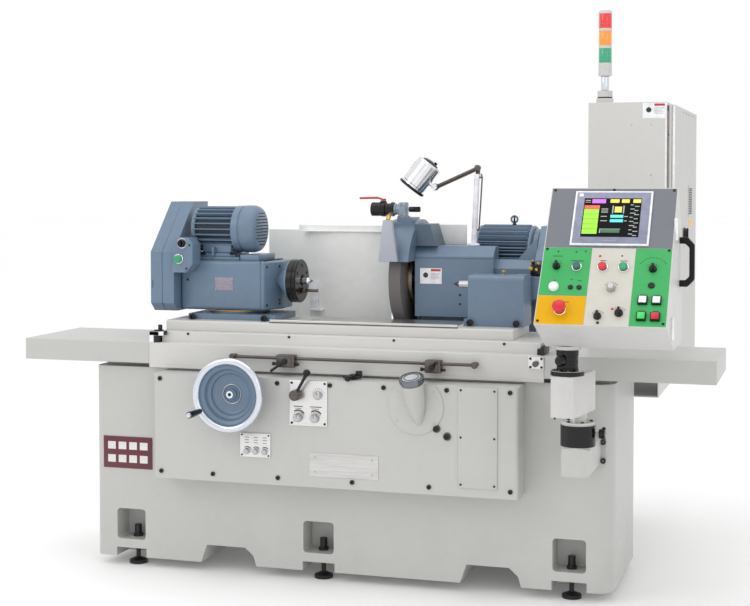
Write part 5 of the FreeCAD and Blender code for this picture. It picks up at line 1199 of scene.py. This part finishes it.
def cabinet():
    """Electric cabinet, its side door, vent, notices and main switch."""
    softened("cabinet_body", LIGHT, 3.0, 2, body_drawn_in)
    softened("cabinet_door", PAINT, 2.0, 2, door_drawn_in)
    right = facing_right(2193)
    front = facing_front(640)
    # Thin white strips along the front edges of body and door: painted highlights.
    Shape().block((2156.4, 2162.7), (639.6, 641), (745, 1833), 0.3, 1).made("cabinet_edge_highlight", WHITE, "bed")
    Shape().block((2185.5, 2193.2), (651.5, 653), (757, 1821), 0.3, 1).made("door_edge_highlight", WHITE, "door")
    Shape().block((2163.2, 2171), (651.7, 653.4), (757, 1822)).made("cabinet_seal", SEAL, "bed")
    Shape().block((2163.2, 2168), (651.3, 651.7), (1800, 1822)).rod(
        (2169, 651.7, 1706), (2169, 650, 1706), 2.6).made("cabinet_seal_end", INK, "bed")
    screws("cabinet_screws", [(2024, 1746, 0), (2101, 1746, 0), (2102, 1548, 0)], front, "bed", 3.2, 1.2,
           TURNED)
    label("cabinet_notice", front, "bed", (2068, 2159), (1771, 1832), 0.0, RED_INK)
    # Matt black bars on the vent frame: painted shade in the vent's openings.
    slots("door_vent", [(1306, 1382 + 7.7 * k, 2.8) for k in range(15)], right, "door", 124, 4.6, 1,
          MATT_BLACK)
    Shape(right).block((1230, 1384), (1370, 1500), (0, 2.6), 0.8).made("door_vent_frame", PALE, "door")
    Shape(right).block((1258, 1392), (1328, 1358), (0, 0.8), 0.3, 1).made("door_notice", YELLOW_INK, "door")
    Shape(right).block((1318, 1326), (1333, 1353), (0.8, 1.1)).made("door_notice_mark", INK, "door")
    screws("door_screws", [(1000 + 120 * k, 1808, 0) for k in range(5)], right, "door", 5, 2, TURNED)
    disc = Shape(right).spin((SWITCH_Y, 1297, 0.4), OUT, [(0, 32), (6, 32), (9, 29), (14, 28), (14, 0)], 48)
    disc.block((SWITCH_Y - 9, SWITCH_Y + 9), (1267, 1327), (12, 20), 3).rod(
        (SWITCH_Y, 1297, -14), (SWITCH_Y, 1297, 1), 5.95)
    disc.made("main_switch_handle", GLOSS_BLACK, "main_switch", ["main_switch"], "black_plastic")
    plate = Shape(right).spin((SWITCH_Y, 1297, 0), OUT, [(0, 6.1), (0, 36), (0.3, 36), (0.3, 6.1)], 48,
                              closed=True)
    plate.made("main_switch_plate", YELLOW_INK, "door")


TOWER_X, TOWER_Y = 1910.0, 700.0


def signal_tower():
    """Three lit rings on a neck."""
    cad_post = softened("signal_post", PALE, 0.8)
    for k, (colour, finish) in enumerate((("green", LENS_GREEN), ("amber", LENS_AMBER), ("red", LENS_RED))):
        low = 1997 + 69 * k
        tube = Shape().spin((TOWER_X, TOWER_Y, low), OUT, [
            (0, 22.5), (0, 25.4), (2, 26.4), (56, 26.4), (58, 25.4), (58, 22.5)], 56, closed=True)
        tube.made("lens_" + colour, finish, "bed", ["signal_lenses"] if k == 0 else ())
        Shape().spin((TOWER_X, TOWER_Y, low + 18), OUT, [(0, 9.2), (0, 15), (18, 15), (18, 9.2)], 32,
                     closed=True).made("bulb_" + str(k), WHITE, "bed")
    Shape().rod((TOWER_X, TOWER_Y, 1884), (TOWER_X, TOWER_Y, 1946), 16.4, soft=0.6,
                sides=40).made("tower_neck", RIM, "bed")
    Shape().rod((TOWER_X, TOWER_Y, 1854), (TOWER_X, TOWER_Y, 1886), 31, 22, 4,
                40).made("tower_foot", GLOSS_BLACK, "bed")


# ------------------------------------------------------------ pendant
LIP = Vector((1873.0, -590.0, 1062.0))
LEAN = Vector((0.0, 333.0, 438.0)).normalized()
OUTWARD = Vector((0.0, -LEAN.z, LEAN.y))
PANEL_FACE = Matrix(((1, LEAN.x, OUTWARD.x, LIP.x), (0, LEAN.y, OUTWARD.y, LIP.y),
                     (0, LEAN.z, OUTWARD.z, LIP.z), (0, 0, 0, 1)))
COLLAR = Vector((1960.0, -224.0, 0.0))
ARM_TURN = Matrix.Translation(COLLAR) @ Matrix.Rotation(
    math.radians(-9), 4, "Z") @ Matrix.Translation(-COLLAR)


def pendant_arm():
    """Post bracket, clamp collar, arm and the swivel under the pendant."""
    softened("pendant_bracket", PAINT, 3.0)
    softened("pendant_arm", PALE, 2.0)
    collar = Shape().spin((1960, -224, 611), OUT, [(0, 31), (0, 59), (2, 61), (74, 61), (76, 59), (76, 31)],
                          72, closed=True)
    collar.made("collar_band", GLOSS_BLACK, "bed")
    Shape().rod((2012, -224, 656), (2034, -224, 656), 5, soft=0.5).made("collar_stud", TURNED, "bed")
    lobes = Shape().rod((2032, -224, 656), (2055, -224, 656), 16.6, soft=3)
    for k in range(5):
        t = 2 * math.pi * k / 5
        lobes.ball((2048, -224 + 17 * math.cos(t), 656 + 17 * math.sin(t)), 7.2)
    lobes.made("collar_knob", GLOSS_BLACK, "bed")
    screws("bracket_bolts", [(2017, 524, 12), (2017, 592, 12)], BED_FRONT, "bed", 9.6, 13)
    screws("collar_top_screws", round_about(1960, -224, 46, (-2.2, -1.1, 0.3, 2.6)),
           Matrix.Translation((0, 0, 696)), "pendant_arm", 5.5, 4)
    flange = Shape(ARM_TURN).spin((1960, -342, 868.2), OUT, [
        (0, 0), (0, 54), (2, 57), (16, 57), (18, 54), (18, 0)], 64)
    flange.spin((1960, -342, 886), OUT, [(0, 22.2), (0, 38), (6, 38), (7, 36), (50, 36), (51, 38), (69, 38),
                                         (69, 22.2)], 64, closed=True)
    flange.made("swivel_socket", GLOSS_BLACK, "pendant_arm")
    bands = Shape(ARM_TURN)
    for k in range(4):
        bands.ring((1960, -342, 896 + 11 * k), OUT, 36.2, 0.8, 56, 8)
    bands.made("swivel_bands", BLACK, "pendant_arm")
    clamp = Shape(ARM_TURN).rod((1952, -376, 922), (1952, -392, 922), 6,
                                soft=0.6).rod((1952, -390, 922), (1952, -409, 922), 19, 15, 4)
    clamp.made("swivel_clamp_knob", GLOSS_BLACK, "pendant_arm")
    screws("swivel_flange_screws", round_about(1960, -342, 46, (-2.6, -1.9, -1.2, -0.5)),
           ARM_TURN @ Matrix.Translation((0, 0, 886)), "pendant_arm", 5, 4, DARK_STEEL)
    screws("arm_cap_screws", [(1935, 728, 0), (1985, 728, 0)], ARM_TURN @ facing_front(-396), "pendant_arm",
           3.5, 1.5)


def pendant():
    """Pendant box with its films, screws, grip and hinges."""
    softened("pendant_box", PALE, 2.0)
    face = PANEL_FACE
    Shape(face).block((2.5, 421.5), (303, 547.5), (0, 0.6), 0.25, 1).made("upper_film", PANEL, "pendant")
    Shape(face).block((2.5, 161), (113, 302), (0, 0.6), 0.25, 1).block(
        (305, 421.5), (3, 302), (0, 0.6), 0.25, 1).made("green_films", GREEN_FILM, "pendant")
    Shape(face).block((2.5, 161), (3, 112), (0, 0.6), 0.25, 1).made("orange_overlay", ORANGE_FILM, "pendant")
    Shape(face).block((162, 304), (3, 302), (0, 0.6), 0.25, 1).made("cream_overlay", CREAM_FILM, "pendant")
    places = [(12, 540), (212, 542), (412, 540), (12, 296), (412, 296), (12, 14), (412, 14), (206, 12)]
    screws("panel_screws", [(a, u, 0.6) for a, u in places], face, "pendant", 4.5, 2)
    screen()
    controls()
    handle = Shape()
    grip = [(2297, 1166), (2324, 1166), (2347, 1190), (2347, 1310), (2324, 1334), (2297, 1334),
            (2297, 1312), (2316, 1312), (2330, 1299), (2330, 1201), (2316, 1188), (2297, 1188)]
    handle.prism([(x, -201, z) for x, z in grip], (0, 22, 0), 3)
    handle.made("pendant_grip", MATT_BLACK, "pendant")
    hinges = Shape()
    for y, low in ((-352, 1330), (-452, 1010)):
        hinges.rod((2301, y, low), (2301, y, low + 72), 6, soft=1)
    hinges.made("pendant_hinges", WHITE, "pendant")
    Shape().spin((1941.5, -340.5, 955.4), OUT, [(0, 0), (0, 35), (2, 36.5), (12.4, 36.5), (12.4, 0)],
                 56).made("pendant_foot", MATT_BLACK, "pendant")


def screen():
    """Display with a made-up page of blocks and lines."""
    face = PANEL_FACE
    rim = Shape(face).block((84, 345), (310, 533), (0.6, 7), 2.5)
    rim.made("screen_rim", WHITE, "pendant", ["operator_screen"], "screen")
    Shape(face).block((91, 338), (317, 526), (6.6, 8.4), 0.8).made("screen_bezel", BEZEL, "pendant")
    Shape(face).block((117, 309), (342, 501), (8.2, 8.8), 0.2, 1).made("screen_glass", GLASS, "pendant")
    Shape(face).block((98, 112), (508, 521), (8.4, 8.9), 0.2, 1).made("screen_corner_mark", WHITE, "pendant")
    Shape(face).block((190, 236), (326, 330), (8.4, 8.7)).made("screen_foot_mark", GREY_INK, "pendant")
    patches = {
        "violet": (lit("violet_patch", ink(196, 104, 226), 0.3), [(144, 190, 480, 497)]),
        "yellow": (lit("yellow_patch", ink(226, 214, 70), 0.3),
                   [(205, 235, 482, 497), (243, 269, 482, 497), (281, 307, 482, 497), (222, 246, 442, 466)]),
        "red": (lit("orange_patch", ink(240, 86, 50), 0.3), [(120, 171, 456, 471)]),
        "lime": (lit("lime_patch", ink(146, 226, 24), 0.35),
                 [(120, 170, 354 + 20.4 * k, 373 + 20.4 * k) for k in range(5)]),
        "cyan": (lit("cyan_patch", ink(78, 220, 222), 0.3), [(210, 253, 420, 432), (210, 253, 402, 414)]),
        "green": (lit("green_patch", ink(20, 92, 34), 0.4), [(184, 245, 359, 372)]),
        "grey": (lit("grey_patch", ink(150, 160, 170), 0.4),
                 [(214, 218, 438, 470), (250, 254, 438, 470), (178, 182, 358, 375), (182, 247, 373, 375)]),
        "pale": (lit("pale_patch", ink(170, 174, 170), 0.2),
                 [(178, 200, 456 - 5 * k, 458 - 5 * k) for k in range(4)]
                 + [(178, 198, 424, 427), (178, 200, 406, 409), (256, 268, 424, 427), (256, 266, 406, 409)]
                 + [(121, 139, 490, 493), (121, 139, 483, 485)]
                 + [(274, 284 + 4 * (k % 3), 472 - 17 * k, 475 - 17 * k) for k in range(8)]
                 + [(288, 304 - 3 * (k % 2), 466 - 17 * k, 469 - 17 * k) for k in range(8)]),
    }
    for name, (finish, places) in patches.items():
        shape = Shape(face)
        for a0, a1, u0, u1 in places:
            shape.block((a0, a1), (u0, u1), (8.7, 9.0))
        shape.made("display_" + name, finish, "pendant")


# Each round control: its middle across and up the face, its radius, its finish and its slot.
ROUND = {
    "mode_selector": (50, 226, 13, GLOSS_BLACK, "black_plastic"),
    "jog_button": (117, 226, 13, TEAL, "green_plastic"),
    "stop_button": (202, 226, 14, RED, "red_plastic"),
    "start_button": (270, 226, 14, GREEN, "green_plastic"),
    "feed_selector": (365, 221, 13, GLOSS_BLACK, "black_plastic"),
    "override_knob": (237, 144, 15, TURNED, "plate_aluminium"),
    "cycle_selector": (270, 50, 14, GLOSS_BLACK, "black_plastic"),
    "offset_knob": (203, 36, 13, GLOSS_BLACK, "black_plastic"),
    "estop_button": (80, 56, 22, RED, "red_plastic"),
}


def controls():
    """Knobs, buttons, rings and marks on the pendant face."""
    face = PANEL_FACE
    rings = Shape(face)
    marks = Shape(face)
    for node, (across, up, radius, finish, slot) in ROUND.items():
        cap = Shape(face).rod((across, up, -16), (across, up, 5), 6.95, sides=24)
        if node == "estop_button":
            cap.spin((across, up, 5), OUT, [(4, 0), (4, 12.6), (13, 12.6), (15, 20), (18, 22), (26, 22),
                                            (31, 18), (33, 12), (34, 0)], 48)
            rings.spin((across, up, 0.6), OUT, [(0, 13.4), (0, 19), (2, 19), (3.4, 17), (3.4, 13.4)], 48,
                       closed=True)
        elif node.endswith("button"):
            cap.spin((across, up, 5), OUT, [(0, radius - 1), (8, radius), (10, radius - 1.4),
                                            (11, radius - 3), (11, 0)], 40)
            rings.spin((across, up, 0.6), OUT, [
                (0, radius + 0.7), (0, radius + 4), (3, radius + 4), (4.2, radius + 2.8),
                (4.2, radius + 0.7)], 40, closed=True)
        else:
            cap.spin((across, up, 0.9), OUT, [(0, radius), (6, radius), (9, radius - 1.5), (9, 0)], 40)
            if node != "override_knob":
                cap.block((across - 4.4, across + 4.4), (up - radius + 1, up + radius - 1), (7, 23), 2)
                cap.block((across - 0.8, across + 0.8), (up + 2, up + radius - 1.4), (22.6, 23.6))
            else:
                cap.spin((across, up, 9), OUT, [(0, 13), (9, 11.5), (12, 9), (12, 0)], 40)
                cap.block((across - 1, across + 1), (up + 2, up + 10), (20.6, 21.6))
            marks.ticks((across, up), radius + 5, radius + 11, range(40, 141, 20), 0.6, 1.0, 1.6)
        cap.made(node + "_cap", finish, node, [node], slot)
    rings.made("button_rings", CHROME, "pendant")
    for across, up in ((50, 286), (110, 286), (141, 288), (190, 270), (262, 272)):
        marks.rod((across, up, 0.6), (across, up, 1.0), 3.2, sides=16)
    for across, up, wide in ((50, 268, 34), (117, 250, 42), (202, 252, 20), (270, 252, 24), (342, 122, 22),
                             (386, 122, 18), (342, 61, 20), (386, 61, 18), (80, 88, 52), (50, 172, 10),
                             (105, 176, 8), (133, 172, 12)):
        marks.block((across - wide / 2, across + wide / 2), (up - 1.3, up + 1.3), (0.6, 0.9))
    marks.ticks((365, 221), 44, 48, range(30, 151, 12), 0.6, 0.9, 3.4)
    marks.made("panel_marks", INK, "pendant")
    dots = Shape(face).rod((190, 270, 0.6), (190, 270, 1.2), 4.6, sides=20).rod(
        (248, 66, 0.6), (248, 66, 1.2), 4.6, sides=20)
    dots.made("panel_red_marks", RED_INK, "pendant")
    push = Shape(face).spin((50, 146, 0.6), OUT, [
        (0, 0), (0, 17), (3, 17), (5, 15), (10, 15), (12, 12), (12, 0)], 40)
    push.made("white_push", WHITE, "pendant")
    plugs = Shape(face)
    for across, up, radius in ((105, 145, 8.5), (133, 145, 8.5), (365, 158, 11)):
        plugs.spin((across, up, 0.6), OUT, [(0, 0), (0, radius), (3, radius), (4.4, radius - 2), (4.4, 0)],
                   28)
    plugs.made("panel_plugs", GLOSS_BLACK, "pendant")
    frames = Shape(face)
    for across, up in ((342, 99), (386, 99), (342, 38), (386, 38)):
        frames.block((across - 15.6, across + 15.6), (up - 15.6, up + 15.6), (0.6, 9.6), 1.2)
    frames.made("square_frames", GLOSS_BLACK, "pendant")
    for name, finish, across, up in (("square_white_left", WHITE, 342, 99),
                                     ("square_white_right", WHITE, 386, 99),
                                     ("square_green", BRIGHT_GREEN, 342, 38), ("square_red", RED, 386, 38)):
        Shape(face).block((across - 12, across + 12), (up - 12, up + 12), (9.2, 13.6),
                          1.6).made(name, finish, "pendant")


BUILD = (bed, badge, lever_panel, lube_panel, data_plate, oil_sight, handwheel, tables,
         lambda: dog("left_dog", 789, 862, 786, 820), lambda: dog("right_dog", 1369, 1430, 1424, 872),
         reversing_lever, headstock, tailstock, wheelhead, lamp, cabinet, signal_tower, pendant_arm, pendant)


# ------------------------------------------------------------ room
FLOOR_HALF = 60.0
VIEW_FROM = (1.7443, -5.8728, 1.5245)
VIEW_YAW, VIEW_PITCH = math.radians(17.033), math.radians(-2.256)
LIT_MIDDLE = Vector((0.0, 0.0, 0.9))
WHITE_LIGHT = (1.0, 1.0, 1.0, 1)


def studio():
    """A pale floor, soft light from a white room and the viewing camera."""
    mesh = bpy.data.meshes.new("floor")
    corners = ((-1, -1), (1, -1), (1, 1), (-1, 1))
    mesh.from_pydata([(x * FLOOR_HALF, y * FLOOR_HALF, 0.0) for x, y in corners], [], [(0, 1, 2, 3)])
    floor = Finish("pale_floor", (0.93, 0.93, 0.93, 1), 0.75)
    floor.feed("Roughness", 0.7 + floor.noise(3.0, 3.0) * 0.1)
    floor.feed("Base Color", floor.mix(floor.noise(1.2, 3.0), (0.92, 0.92, 0.92, 1), (0.94, 0.94, 0.94, 1)))
    floor.feed("Emission Color", WHITE_LIGHT)
    floor.feed("Emission Strength", 0.06)
    mesh.materials.append(floor.material)
    stage = placed("floor", mesh)
    world = bpy.data.worlds.new("soft_room")
    world.use_nodes = True
    sky = world.node_tree.nodes["Background"]
    sky.inputs["Color"].default_value = WHITE_LIGHT
    sky.inputs["Strength"].default_value = 1.0
    bpy.context.scene.world = world
    for name, place, size, power in (("key", (-3.6, -4.6, 4.2), 3.0, 46.0),
                                     ("fill", (4.6, -4.2, 2.8), 3.0, 16.0),
                                     ("top", (0.0, -0.6, 5.2), 4.0, 40.0),
                                     ("low", (0.4, -6.5, 1.4), 2.6, 4.0)):
        light = bpy.data.lights.new(name, "AREA")
        light.size = size
        light.energy = power
        lamp = placed(name, light)
        lamp.location = place
        lamp.rotation_euler = (LIT_MIDDLE - Vector(place)).to_track_quat("-Z", "Y").to_euler()
    sight = bpy.data.cameras.new("view")
    sight.sensor_width = 36.0
    sight.lens = 72.14
    sight.shift_y = -0.0839
    camera = placed("view", sight)
    level = math.cos(VIEW_PITCH)
    ahead = Vector((-math.sin(VIEW_YAW) * level, math.cos(VIEW_YAW) * level, math.sin(VIEW_PITCH)))
    camera.location = VIEW_FROM
    camera.rotation_euler = ahead.to_track_quat("-Z", "Y").to_euler()
    bpy.context.scene.camera = camera
    bpy.context.scene.view_settings.view_transform = "Standard"


for build in BUILD:
    build()
studio()
